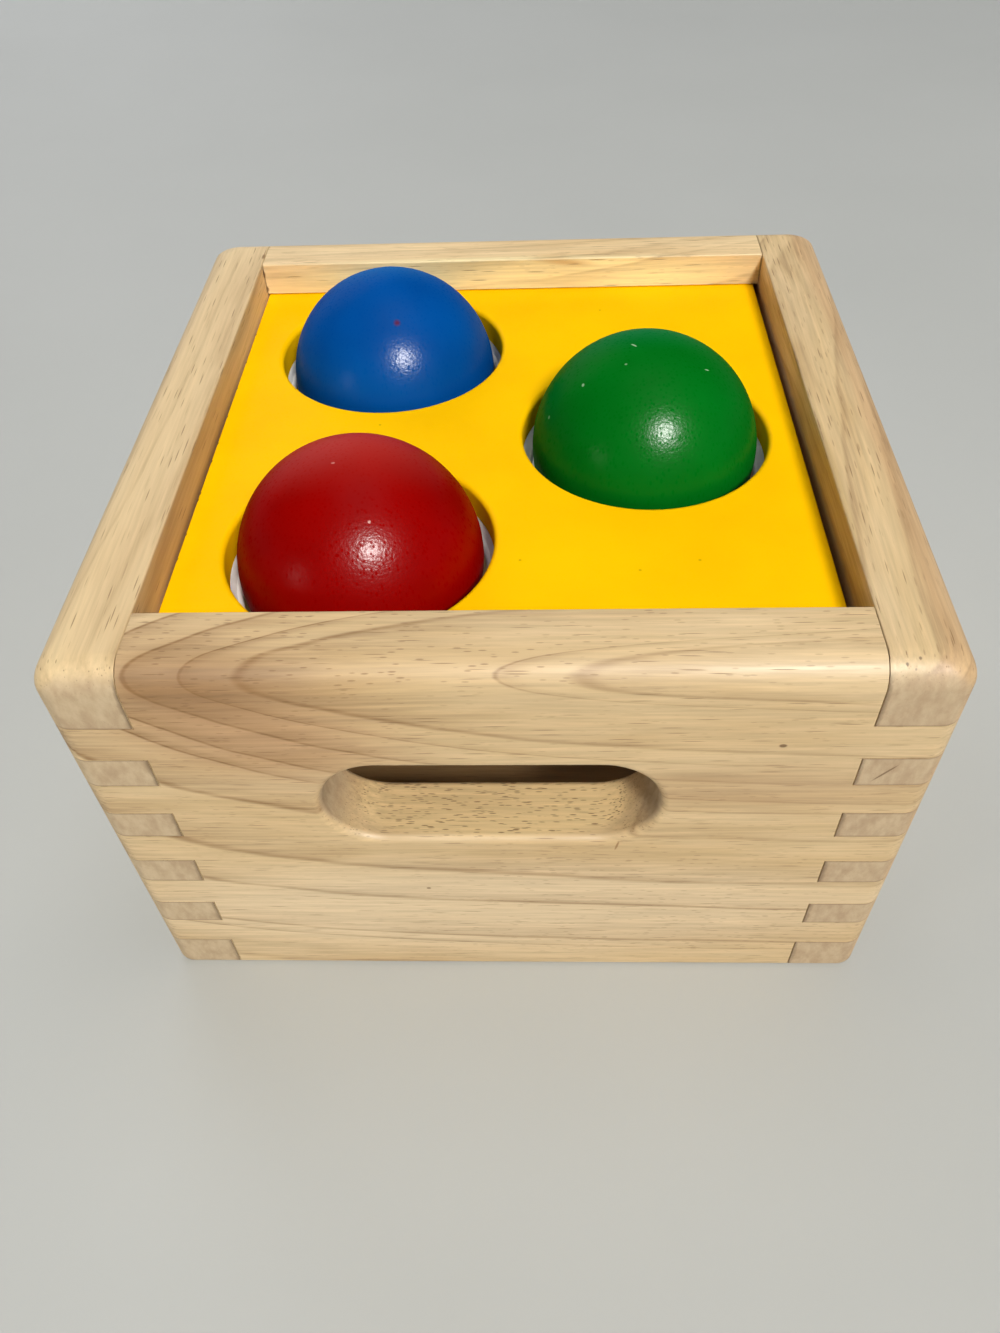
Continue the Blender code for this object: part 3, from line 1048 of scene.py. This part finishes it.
    def back_wood(self) -> Rubberwood:
        """Back board: paler, with a flat cathedral figure and painted light along the top of its inner face.

        Returns:
            Its wood.
        """
        patches = (
            # Painted light: a pale band along the top of the inner face, where light from the front falls on it.
            Mark((0.0, 64.3, 97.0), (76.0, 3.0, 8.0), "#f8eab4", 0.7),
            Mark((14.0, 65.0, 101.0), (11.0, 3.0, 1.4), "#b98a4c", 0.6, (0.0, 6.0, 0.0), 0.1),
        )
        return Rubberwood(
            "sanded_rubberwood_back", Grain.ALONG_X, (20.0 * MM, 60.0 * MM), pale="#e4cb9f", tan="#d3b483",
            ring=7.0 * MM, sweep=-18.0 * MM, sweep_start=80.0 * MM, sweep_length=-50.0 * MM,
            fingers=self.finger_row(JointRole.FINGERS), seed=4.2, patches=patches, marks=self.FILLER)

    def left_wood(self) -> Rubberwood:
        """Left board: even and pale, with long thin vessel lines and painted shade on its inner face.

        Returns:
            Its wood.
        """
        patches = (
            # Painted shade: the inner face darkened for the shade it lies in.
            Mark((-64.5, -24.0, 96.5), (3.0, 62.0, 7.5), "#a9824f", 0.5),
            # Painted shade: a dark strip where the inner face meets the panel's edge.
            Mark((-64.5, -8.0, 93.4), (3.0, 75.0, 2.6), "#5e4520", 0.55, core=0.1),
        )
        return Rubberwood(
            "sanded_rubberwood_left", Grain.ALONG_Y, (115.0 * MM, 48.0 * MM), pale="#ddc599", tan="#cdb185",
            ring=5.5 * MM, ring_share=0.3, sweep=6.0 * MM, sweep_length=55.0 * MM,
            fingers=self.finger_row(JointRole.SOCKETS), streak=0.6, vessel=14.0 * MM, pores=0.3, seed=8.9,
            patches=patches, marks=self.FILLER)

    def right_wood(self) -> Rubberwood:
        """Right board: browner heartwood along its outer side, painted shade on its inner face, and a crack across
        its second finger.

        Returns:
            Its wood.
        """
        # Painted shade: the inner face darkened for the shade it lies in, away from the key light.
        inner = Mark((64.5, -30.0, 96.5), (3.0, 52.0, 7.5), "#94742c", 0.6)
        marks = (
            Mark((69.3, -79.3, 74.6), (3.7, 2.0, 0.3), "#6f563b", 0.8, (0.0, -52.0, 0.0)),
            Mark((67.2, -76.9, 101.4), (0.4, 0.4, 1.0), "#5f482f", 0.8),
            Mark((69.4, -76.0, 101.6), (0.35, 0.35, 1.0), "#5f482f", 0.7),
            Mark((68.6, -77.6, 101.0), (0.35, 0.35, 1.0), "#5f482f", 0.7),
        )
        return Rubberwood(
            "sanded_rubberwood_right", Grain.ALONG_Y, (-110.0 * MM, 35.0 * MM), ring=6.0 * MM, ring_share=0.5,
            sweep=20.0 * MM, sweep_start=80.0 * MM, sweep_length=-60.0 * MM, heart=79.0 * MM,
            fingers=self.finger_row(JointRole.SOCKETS), vessel=7.0 * MM, seed=12.3, patches=(inner,), marks=marks)

    def rounded_block(self) -> Object:
        """The whole box as one rounded block, which trims the outer edges of all four walls.

        Returns:
            The guide block.
        """
        sizes, low, high = self.sizes, self.bottom_round, self.top_round
        quarter = arc((0.0, 0.0), 1.0, 0, 90, self.ROUND_STEPS)
        sections = [(low * (1 - v), low * (1 - u)) for u, v in quarter]
        sections += [(high * (1 - u), sizes.height - high * (1 - v)) for u, v in quarter]
        loops = []
        for inset, z in sections:
            outline: list[Point2] = []
            for sign_x, sign_y, start in ((1, 1, 0), (-1, 1, 90), (-1, -1, 180), (1, -1, 270)):
                corner = (sign_x * (sizes.half_x - inset - self.corner_round),
                          sign_y * (sizes.half_y - inset - self.corner_round))
                outline += arc(corner, self.corner_round, start, start + 90, self.ROUND_STEPS)
            loops.append([(x, y, z) for x, y in outline])
        return loft("rounded_block", loops)

    def wall_section(self, inner: float, outer: float) -> list[Point2]:
        """Upright section of a wall with its inner rim eased, as (across, height) points.

        Args:
            inner: Distance of the inner face from the middle.
            outer: Distance of the outer face, past the block that trims it.

        Returns:
            The section's points.
        """
        top, foot, ease = self.sizes.height, -self.sizes.over, self.rim_ease
        rim = arc((inner + ease, top - ease), ease, 180, 90, self.RIM_STEPS)
        return [(inner, foot), *rim, (outer, top), (outer, foot)]

    def core(self, wall: Wall) -> Object:
        """Straight length of a wall, without its fingers or sockets.

        Args:
            wall: Wall to start.

        Returns:
            The start of its piece.
        """
        sizes = self.sizes
        if wall.role is JointRole.FINGERS:
            section = self.wall_section(sizes.inner_y, sizes.half_y + sizes.over)
            half = sizes.inner_x - self.shoulder_gap
            return loft(wall.name, [[(x, wall.side * y, z) for y, z in section] for x in (-half, half)])
        section = self.wall_section(sizes.inner_x, sizes.half_x + sizes.over)
        half = sizes.half_y + sizes.over
        return loft(wall.name, [[(wall.side * x, y, z) for x, z in section] for y in (-half, half)])

    def joint_values(self, wall: Wall) -> dict:
        """Sizes and places of the finger blocks at a wall's two corners.

        Args:
            wall: Wall that gets the fingers, or the sockets for them.

        Returns:
            Values for the inputs of the joint tree.
        """
        sizes = self.sizes
        if wall.role is JointRole.FINGERS:
            height = self.finger - self.glue_gap
            inner_x, inner_y = sizes.inner_x - 2 * sizes.over, sizes.inner_y
            flips = ((-1, wall.side), (1, wall.side))
        else:
            height = self.finger + self.glue_gap
            inner_x, inner_y = sizes.inner_x - sizes.over, sizes.inner_y - self.shoulder_gap
            flips = ((wall.side, -1), (wall.side, 1))
        outer_x, outer_y = sizes.half_x + sizes.over, sizes.half_y + 2 * sizes.over
        middle = Vector(((inner_x + outer_x) / 2, (inner_y + outer_y) / 2, self.first_finger + self.finger / 2))
        first, second = (Vector((middle.x * x, middle.y * y, middle.z)) for x, y in flips)
        return {
            "Finger Size": Vector((outer_x - inner_x, outer_y - inner_y, height)),
            "First Corner": first,
            "Second Corner": second,
            "Pitch": self.finger_pitch,
            "Fingers": self.fingers,
        }

    def joint_tree(self, role: JointRole) -> Tree:
        """Tree that repeats the fingers up both corners, cuts the openings and rounds the outside.

        Args:
            role: Whether the finger blocks are added or cut out.

        Returns:
            The tree.
        """
        tree, value = geometry_tree("box_joint_" + role.name.lower(), {
            "Finger Size": "Vector", "First Corner": "Vector", "Second Corner": "Vector", "Pitch": "Float",
            "Fingers": "Int", "Cutters": "Object", "Block": "Object", "Material": "Material"})
        step = add(tree, "ShaderNodeCombineXYZ", {2: value["Pitch"]})
        finger = add(tree, "GeometryNodeMeshCube", {"Size": value["Finger Size"]})
        rows = []
        for corner in ("First Corner", "Second Corner"):
            line = add(tree, "GeometryNodeMeshLine",
                       {"Count": value["Fingers"], "Start Location": value[corner], "Offset": step})
            rows.append(add(tree, "GeometryNodeInstanceOnPoints", {"Points": line, "Instance": finger}))
        blocks = add(tree, "GeometryNodeJoinGeometry", (rows,))
        blocks = add(tree, "GeometryNodeRealizeInstances", (blocks,))
        openings = add(tree, "GeometryNodeObjectInfo", {"Object": value["Cutters"]})
        block = add(tree, "GeometryNodeObjectInfo", {"Object": value["Block"]})
        core = value["Geometry"]
        joint = {1: [core, blocks]} if role is JointRole.FINGERS else (core, blocks)
        wall = add(tree, "GeometryNodeMeshBoolean", joint, operation=role.value)
        wall = add(tree, "GeometryNodeMeshBoolean", (wall, openings), operation="DIFFERENCE")
        wall = add(tree, "GeometryNodeMeshBoolean", {1: [wall, block]}, operation="INTERSECT")
        return end_tree(tree, wall, value["Material"])

    def cutters(self, wall: Wall) -> Object:
        """Guide shapes of an end wall: its opening and the groove that takes the panel's edge.

        Args:
            wall: Wall to be cut.

        Returns:
            The guide shapes as one object.
        """
        sizes = self.sizes
        low, high = sizes.panel_bottom - sizes.fit_gap, sizes.panel_top + sizes.fit_gap
        outline = ((-sizes.inner_x, low), (sizes.inner_x, low), (sizes.inner_x, high), (-sizes.inner_x, high))
        faces = (sizes.inner_y - sizes.over, sizes.inner_y + sizes.panel_tongue + sizes.fit_gap)
        groove = [[(x, wall.side * y, z) for x, z in outline] for y in faces]
        return loft(wall.name + "_cutters", wall.opening, groove)

    def through_sections(self, side: int, ease: float) -> list[Point2]:
        """Sections of a cutter through an end wall that rounds both edges.

        Args:
            side: -1 for the front wall, 1 for the back wall.
            ease: Radius of the edges.

        Returns:
            Place along Y and growth of each section.
        """
        sizes = self.sizes
        edge = [(ease * (1 - u), ease * (1 - v)) for u, v in arc((0.0, 0.0), 1.0, 0, 90, self.EASE_STEPS)]
        sections = [(sizes.half_y + sizes.over, ease)]
        sections += [(sizes.half_y - depth, growth) for depth, growth in edge]
        sections += [(sizes.inner_y + depth, growth) for depth, growth in reversed(edge)]
        sections += [(sizes.inner_y - sizes.over, ease)]
        return [(side * y, growth) for y, growth in sections]

    def slot_loops(self) -> Loops:
        """Loops of the hand slot, with round ends and rounded edges.

        Returns:
            The loops.
        """
        x, z = self.slot_middle
        radius = self.slot_height / 2
        straight = self.slot_length / 2 - radius
        loops = []
        for y, growth in self.through_sections(-1, self.slot_ease):
            right = arc((x + straight, z), radius + growth, -90, 90, self.SLOT_STEPS)
            left = arc((x - straight, z), radius + growth, 90, 270, self.SLOT_STEPS)
            loops.append([(u, y, w) for u, w in right + left])
        return loops

    def exit_loops(self) -> Loops:
        """Loops of the ball exit, open at the foot of the back wall.

        Returns:
            The loops.
        """
        corner = (self.exit_half - self.exit_corner, self.exit_top - self.exit_corner)
        loops = []
        for y, growth in self.through_sections(1, self.exit_ease):
            right = [(self.exit_half + growth, -self.sizes.over)]
            right += arc(corner, self.exit_corner + growth, 0, 90, self.EXIT_STEPS)
            loops.append([(u, y, w) for u, w in right + [(-u, w) for u, w in reversed(right)]])
        return loops


@dataclass(frozen=True)
class BallPlace:
    """One ball and its hole."""

    colour: str  # colour name in the CAD nodes
    hole: Point2  # middle of the hole
    seat_depth: float  # how far the ball's centre sits below the panel's face
    paint: WoodPaint


@dataclass
class BallPanel:
    """The yellow panel with its holes, and the elastic seat ring in each."""

    sizes: BoxSizes
    balls: tuple[BallPlace, ...]
    relief: float = 1.2 * MM
    edge_ease: float = 0.5 * MM
    hole_ease: float = 1.2 * MM
    lip_height: float = 9.3 * MM
    lip_round: float = 1.5 * MM
    lip_gap: float = 0.8 * MM
    segments: int = 96

    EDGE_STEPS = 4
    RIM_STEPS = 6
    NOSE_STEPS = 10
    NOSE_START, NOSE_END = 110, 250  # part of a circle that a ring's lip takes, in degrees
    # Places in millimetres of nicks along the left edge, and of specks on the face.
    NICKS = (-41.0, -33.5, -22.5, -20.2, -9.0, -2.4, 8.0, 19.5, 31.0, 44.0)
    SPECKS = ((-28.4, 3.6), (3.5, -42.4), (26.4, -45.6), (38.0, -42.9), (22.9, 52.7))

    def build(self) -> None:
        """Build, dress and carry the panel and its rings."""
        places, hole = self.hole_places(), self.hole_cutter()
        panel = grow(self.slab(), self.hole_tree(),
                     {"Places": places, "Hole": hole, "Material": self.paint().build()})
        carry(panel, "box", "top_panel")
        remove(places, hole)
        rubber = WhiteElastomer().build()
        tree = self.ring_tree()
        for ball in self.balls:
            ring = grow(self.ring_profile(ball), tree, {
                "Radius": self.sizes.hole_radius, "Segments": self.segments,
                "Place": Vector((*ball.hole, self.sizes.panel_top)), "Material": rubber})
            carry(ring, "box", "seat_ring_" + ball.colour)

    def paint(self) -> WoodPaint:
        """Yellow paint, with nicks along the panel's left edge and a few specks.

        Returns:
            The paint.
        """
        top = self.sizes.panel_top / MM
        edge = (self.sizes.fit_gap - self.sizes.inner_x) / MM
        nicks = tuple(Mark((edge, y, top), (0.5, 0.7, 0.6), "#5f480c", 0.85) for y in self.NICKS)
        specks = tuple(Mark((x, y, top), (0.4, 0.4, 0.5), "#a87f00", 0.5) for x, y in self.SPECKS)
        return WoodPaint("satin_yellow_paint", "#f7bf00", "#f2b900", rough=0.4, gloss=0.1, relief=0.02 * MM,
                         marks=nicks + specks)

    def slab(self) -> Object:
        """Panel without its holes, with eased upper edges.

        Returns:
            The start of the panel.
        """
        sizes, ease = self.sizes, self.edge_ease
        left, right = sizes.fit_gap - sizes.inner_x, sizes.inner_x - self.relief
        end = sizes.inner_y + sizes.panel_tongue
        quarter = arc((0.0, 0.0), ease, 0, 90, self.EDGE_STEPS)
        sections = [(0.0, sizes.panel_bottom)]
        sections += [(ease - u, sizes.panel_top - ease + w) for u, w in quarter]
        loops = []
        for inset, z in sections:
            corners = ((left + inset, -end), (right - inset, -end), (right - inset, end), (left + inset, end))
            loops.append([(x, y, z) for x, y in corners])
        return loft("yellow_panel", loops)

    def hole_places(self) -> Object:
        """Guide points in the middle of each hole.

        Returns:
            The points as one object.
        """
        bm = bmesh.new()
        for ball in self.balls:
            bm.verts.new((*ball.hole, self.sizes.panel_top))
        return add_object("hole_places", bm)

    def hole_cutter(self) -> Object:
        """Guide shape of one hole: eased rim, straight wall and the groove of its ring.

        Returns:
            The guide shape, with the panel's face at height 0.
        """
        sizes, radius, ease = self.sizes, self.sizes.hole_radius, self.hole_ease
        groove_top = -sizes.ring_depth
        groove_bottom = groove_top - sizes.ring_height
        sections = [
            (radius, -sizes.panel_thickness - sizes.over), (radius, groove_bottom),
            (radius + sizes.ring_groove, groove_bottom), (radius + sizes.ring_groove, groove_top),
            (radius, groove_top), *arc((radius + ease, -ease), ease, 180, 90, self.RIM_STEPS),
            (radius + ease, sizes.over),
        ]
        last = 360 - 360 / self.segments
        loops = [[(x, y, z) for x, y in arc((0.0, 0.0), r, 0, last, self.segments - 1)] for r, z in sections]
        return loft("hole_cutter", loops)

    def hole_tree(self) -> Tree:
        """Tree that sets the hole cutter at each place and cuts the panel with it.

        Returns:
            The tree.
        """
        tree, value = geometry_tree("panel_holes", {"Places": "Object", "Hole": "Object", "Material": "Material"})
        points = add(tree, "GeometryNodeObjectInfo", {"Object": value["Places"]})
        hole = add(tree, "GeometryNodeObjectInfo", {"Object": value["Hole"]})
        holes = add(tree, "GeometryNodeInstanceOnPoints", {"Points": points, "Instance": hole})
        holes = add(tree, "GeometryNodeRealizeInstances", (holes,))
        panel = add(tree, "GeometryNodeMeshBoolean", (value["Geometry"], holes), operation="DIFFERENCE")
        return end_tree(tree, panel, value["Material"])

    def ring_profile(self, ball: BallPlace) -> Object:
        """Section of a seat ring about the hole's edge, as a closed line of (out, up) points.

        Args:
            ball: Ball that the ring's lip stands just clear of.

        Returns:
            The start of the ring. Its up is turned over, because the sweep turns it back.
        """
        sizes = self.sizes
        outer = sizes.ring_groove - sizes.fit_gap
        top = -sizes.ring_depth - sizes.fit_gap
        bottom = -sizes.ring_depth - sizes.ring_height + sizes.fit_gap
        touch = math.sqrt(sizes.ball_radius ** 2 - (ball.seat_depth - self.lip_height) ** 2)
        middle = (touch + self.lip_gap - sizes.hole_radius + self.lip_round, -self.lip_height)
        nose = arc(middle, self.lip_round, self.NOSE_START, self.NOSE_END, self.NOSE_STEPS)
        line = [(outer, top), (0.0, top), *nose, (0.0, bottom), (outer, bottom)]
        bm = bmesh.new()
        points = [bm.verts.new((u, -w, 0.0)) for u, w in line]
        for first, second in zip(points, points[1:] + points[:1]):
            bm.edges.new((first, second))
        return add_object("seat_ring_moulded_" + ball.colour, bm)

    def ring_tree(self) -> Tree:
        """Tree that sweeps a ring's section round its hole.

        Returns:
            The tree.
        """
        tree, value = geometry_tree("swept_ring", {
            "Radius": "Float", "Segments": "Int", "Place": "Vector", "Material": "Material"})
        path = add(tree, "GeometryNodeCurvePrimitiveCircle",
                   {"Resolution": value["Segments"], "Radius": value["Radius"]})
        section = add(tree, "GeometryNodeMeshToCurve", (value["Geometry"],))
        ring = add(tree, "GeometryNodeCurveToMesh", {"Curve": path, "Profile Curve": section})
        ring = add(tree, "GeometryNodeFlipFaces", (ring,))
        ring = add(tree, "GeometryNodeTransform", {"Geometry": ring, "Translation": value["Place"]})
        return end_tree(tree, ring, value["Material"])


@dataclass
class PaintedBalls:
    """The turned wooden balls, each on a body of its own."""

    sizes: BoxSizes
    balls: tuple[BallPlace, ...]
    unevenness: float = 0.05 * MM
    detail: int = 6

    SEED_STEP = 3.0
    SWELLS = 1.6  # cells of the unevenness on a ball's radius

    def build(self) -> None:
        """Build, dress and carry the balls."""
        tree = self.ball_tree()
        for number, ball in enumerate(self.balls):
            start = add_object("ball_turned_" + ball.colour, bmesh.new())
            piece = grow(start, tree, {
                "Radius": self.sizes.ball_radius, "Unevenness": self.unevenness, "Detail": self.detail,
                "Seed": self.SEED_STEP * number, "Material": ball.paint.build(),
                "Centre": Vector((*ball.hole, self.sizes.panel_top - ball.seat_depth))})
            carry(piece, ball.colour + "_ball", "ball_" + ball.colour)

    def ball_tree(self) -> Tree:
        """Tree of a ball that was turned and sanded by hand, so that it is very slightly uneven.

        Returns:
            The tree, which only takes material off the ball.
        """
        tree, value = geometry_tree("turned_ball", {
            "Radius": "Float", "Unevenness": "Float", "Detail": "Int", "Seed": "Float", "Centre": "Vector",
            "Material": "Material"})
        ball = add(tree, "GeometryNodeMeshIcoSphere",
                   {"Radius": value["Radius"], "Subdivisions": value["Detail"]})
        normal = add(tree, "GeometryNodeInputNormal")
        swell = add(tree, "ShaderNodeTexNoise",
                    {"Vector": normal, "W": value["Seed"], "Scale": self.SWELLS, "Detail": 1.0},
                    noise_dimensions="4D")
        swell = add(tree, "ShaderNodeMath", (swell, 1.0), operation="SUBTRACT")
        depth = add(tree, "ShaderNodeMath", (swell, value["Unevenness"]), operation="MULTIPLY")
        shift = add(tree, "ShaderNodeVectorMath", {0: normal, 3: depth}, operation="SCALE")
        ball = add(tree, "GeometryNodeSetPosition", {"Geometry": ball, "Offset": shift})
        ball = add(tree, "GeometryNodeTransform", {"Geometry": ball, "Translation": value["Centre"]})
        return end_tree(tree, ball, value["Material"])


@dataclass
class BallRamp:
    """The sloping floor and the rails that carry it."""

    sizes: BoxSizes
    thickness: float = 3.6 * MM
    tongue_half: float = 57.2 * MM
    edge_ease: float = 0.35 * MM

    # The floor's dark browns are partly painted shade, for the dark inside of the box.
    FLOOR_WOOD = Rubberwood("sanded_floor_board", Grain.ALONG_X, (20.0 * MM, -150.0 * MM), pale="#ab8c62",
                            tan="#94744b", vessel=8.0 * MM, seed=21.0)
    RAIL_WOOD = Rubberwood("sawn_rail_wood", Grain.ALONG_Y, (30.0 * MM, -60.0 * MM), seed=17.0)

    def build(self, nodes: dict[str, Object]) -> None:
        """Build the floor, and dress the rails that stay as they are in the CAD model.

        Args:
            nodes: CAD nodes by name.
        """
        floor = self.floor()
        floor.data.materials.append(self.FLOOR_WOOD.build())
        carry(floor, "box", "ramp_floor")
        wood = self.RAIL_WOOD.build()
        for name in ("left_ramp_rail", "right_ramp_rail"):
            nodes[name].data.materials[0] = wood
            LOG.info("%s: kept from the CAD model", name)

    def floor(self) -> Object:
        """Sloping board whose tongue runs out through the exit.

        Returns:
            The floor with eased edges.
        """
        sizes, tongue = self.sizes, self.tongue_half
        half, end = sizes.inner_x - sizes.fit_gap, sizes.inner_y - sizes.fit_gap
        right = [(half, -end), (half, end), (tongue, end), (tongue, sizes.half_y)]
        outline = right + [(-x, y) for x, y in reversed(right)]
        drops = (self.thickness, 0.0)
        floor = loft("floor_board", [[(x, y, sizes.floor_height(y) - drop) for x, y in outline] for drop in drops])
        ease = floor.modifiers.new("eased_edges", "BEVEL")
        ease.width = self.edge_ease
        ease.segments = 2
        return settle(floor)


@dataclass(frozen=True)
class Lamp:
    """A round area light that points at the box."""

    name: str
    place: Point3
    size: float  # diameter
    power: float  # watts
    colour: str  # sRGB hex colour
    diffuse: bool = True  # whether it lights matt surfaces
    glossy: bool = True  # whether it shows in highlights

    AIM = (0.0, 0.0, 80.0 * MM)

    def build(self) -> None:
        """Add the light to the scene."""
        lamp = bpy.data.lights.new(self.name, "AREA")
        lamp.shape = "DISK"
        lamp.size = self.size
        lamp.energy = self.power
        lamp.color = linear(self.colour)[:3]
        obj = bpy.data.objects.new(self.name, lamp)
        aim = Vector(self.AIM) - Vector(self.place)
        obj.matrix_world = Matrix.Translation(self.place) @ aim.to_track_quat("-Z", "Y").to_matrix().to_4x4()
        obj.visible_diffuse = self.diffuse
        obj.visible_glossy = self.glossy
        bpy.context.scene.collection.objects.link(obj)


@dataclass
class Studio:
    """Plain pale table, soft light and the camera at the photograph's angle."""

    camera_place: Point3 = (7.6 * MM, -192.5 * MM, 227.1 * MM)
    azimuth: float = -3.436
    elevation: float = 47.43
    roll: float = -2.885
    lens: float = 27.894
    sensor: float = 36.0
    nearest: float = 10.0 * MM
    table_half: float = 3.0
    table_gap: float = 0.1 * MM
    sky: str = "#e2eaf2"
    sky_low: float = 0.45
    sky_high: float = 0.05
    sky_rise: float = 0.45

    # A soft key light from the front right, whose highlight is set on its own, with faint lights round it.
    LAMPS = (
        Lamp("key_light", (0.72, -1.66, 1.86), 0.50, 64.0, "#fffaf2"),
        Lamp("spark_light", (0.72, -1.66, 1.86), 0.20, 290.0, "#fffdfa", diffuse=False),
        Lamp("side_light", (-1.14, -0.93, 0.41), 0.18, 2.2, "#fffaf2"),
        Lamp("back_card", (-0.8, 1.3, 0.5), 1.2, 1.6, "#f7faff"),
        Lamp("top_light", (0.2, 0.3, 2.3), 1.6, 19.0, "#f7faff", glossy=False),
        Lamp("back_fill", (-0.9, 1.8, 0.9), 1.4, 15.0, "#f9faff", glossy=False),
    )

    def build(self) -> None:
        """Build the table, the lights, the sky and the camera."""
        self.table()
        for lamp in self.LAMPS:
            lamp.build()
        self.light_sky()
        self.camera()

    def table(self) -> None:
        """Table top just under the box."""
        half = self.table_half
        bm = bmesh.new()
        corners = ((-half, -half), (half, -half), (half, half), (-half, half))
        bm.faces.new([bm.verts.new((x, y, -self.table_gap)) for x, y in corners])
        table = add_object("table", bm)
        table.data.materials.append(PaleTable().build())

    def light_sky(self) -> None:
        """Even sky that is brighter towards the horizon."""
        world = bpy.data.worlds.new("even_sky")
        world.use_nodes = True
        tree = world.node_tree
        where = add(tree, "ShaderNodeTexCoord", out="Generated")
        height = add(tree, "ShaderNodeSeparateXYZ", (where,), 2)
        glow = add(tree, "ShaderNodeMapRange", (height, 0.0, self.sky_rise, self.sky_low, self.sky_high),
                   **SMOOTH)
        feed(tree, tree.nodes["Background"], {"Color": linear(self.sky), "Strength": glow})
        bpy.context.scene.world = world
        bpy.context.scene.view_settings.view_transform = "Standard"

    def camera(self) -> None:
        """Camera at the photograph's place, turn and angle of view."""
        azimuth, elevation, roll = (math.radians(a) for a in (self.azimuth, self.elevation, self.roll))
        ahead = Vector((math.sin(azimuth) * math.cos(elevation), math.cos(azimuth) * math.cos(elevation),
                        -math.sin(elevation)))
        level = ahead.cross(Vector((0.0, 0.0, 1.0))).normalized()
        upright = level.cross(ahead)
        right = level * math.cos(roll) + upright * math.sin(roll)
        turn = Matrix((right, right.cross(ahead), -ahead)).transposed().to_4x4()
        lens = bpy.data.cameras.new("camera")
        lens.lens = self.lens
        lens.sensor_width = self.sensor
        lens.clip_start = self.nearest
        camera = bpy.data.objects.new("camera", lens)
        camera.matrix_world = Matrix.Translation(self.camera_place) @ turn
        bpy.context.scene.collection.objects.link(camera)
        bpy.context.scene.camera = camera


def ball_places() -> tuple[BallPlace, ...]:
    """The three balls with their holes, seats and paints.

    Returns:
        The balls, each with a painted lighter top for the light and reflection from above, and its own dots, nicks
        and specks.
    """
    blue = WoodPaint("satin_blue_paint", "#004a97", "#00428b", marks=(
        # Painted light: a lighter top, for light falling from above and a pale reflection.
        Mark((-30.5, 46.4, 109.7), (22.0, 14.0, 11.0), "#1c72b8", 0.6, core=0.0),
        Mark((-24.8, 22.9, 107.9), (1.1, 1.2, 1.1), "#5c1a2c", 0.85, core=0.1),
    ))
    green = WoodPaint("satin_green_paint", "#006817", "#006012", marks=(
        # Painted light: a lighter top, for light falling from above and a pale reflection.
        Mark((28.4, 10.4, 112.4), (22.0, 14.0, 11.0), "#067440", 0.7, core=0.0),
        Mark((26.9, 0.2, 114.5), (1.0, 0.25, 1.0), "#a9c7a4", 0.7, (0.0, 0.0, -50.0)),
        Mark((25.0, -5.4, 113.5), (0.35, 0.3, 0.5), "#8fb78c", 0.6),
        Mark((16.4, -6.2, 109.3), (0.35, 0.5, 0.5), "#9fc49b", 0.7),
        Mark((9.4, -5.9, 101.5), (0.4, 0.5, 0.5), "#8fb78c", 0.5),
        Mark((41.6, -4.8, 111.5), (0.7, 0.22, 0.6), "#9fc09a", 0.7, (0.0, 0.0, 20.0)),
    ))
    red = WoodPaint("satin_red_paint", "#8a0100", "#7e0100", marks=(
        # Painted light: a lighter top, for light falling from above and a pale reflection.
        Mark((-30.5, -26.5, 111.0), (28.0, 20.0, 17.0), "#c23f38", 0.65, core=0.0),
        Mark((-23.1, -49.2, 109.3), (0.35, 0.35, 0.35), "#d8b0a6", 0.7),
        Mark((-30.5, -37.6, 113.8), (0.45, 0.3, 0.4), "#cf8d84", 0.6),
    ))
    return (
        BallPlace("blue", (-28.5 * MM, 36.0 * MM), 6.4 * MM, blue),
        BallPlace("green", (30.4 * MM, 0.0), 3.7 * MM, green),
        BallPlace("red", (-28.5 * MM, -36.0 * MM), 4.5 * MM, red),
    )


def main() -> None:
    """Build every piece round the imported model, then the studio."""
    logging.basicConfig(level=logging.INFO, format="%(name)s: %(message)s")
    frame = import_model()
    sizes = BoxSizes()
    balls = ball_places()
    JointedBox(sizes).build()
    BallPanel(sizes, balls).build()
    PaintedBalls(sizes, balls).build()
    BallRamp(sizes).build(frame["nodes"])
    Studio().build()
    bpy.context.view_layer.update()


if __name__ == "__main__":
    main()
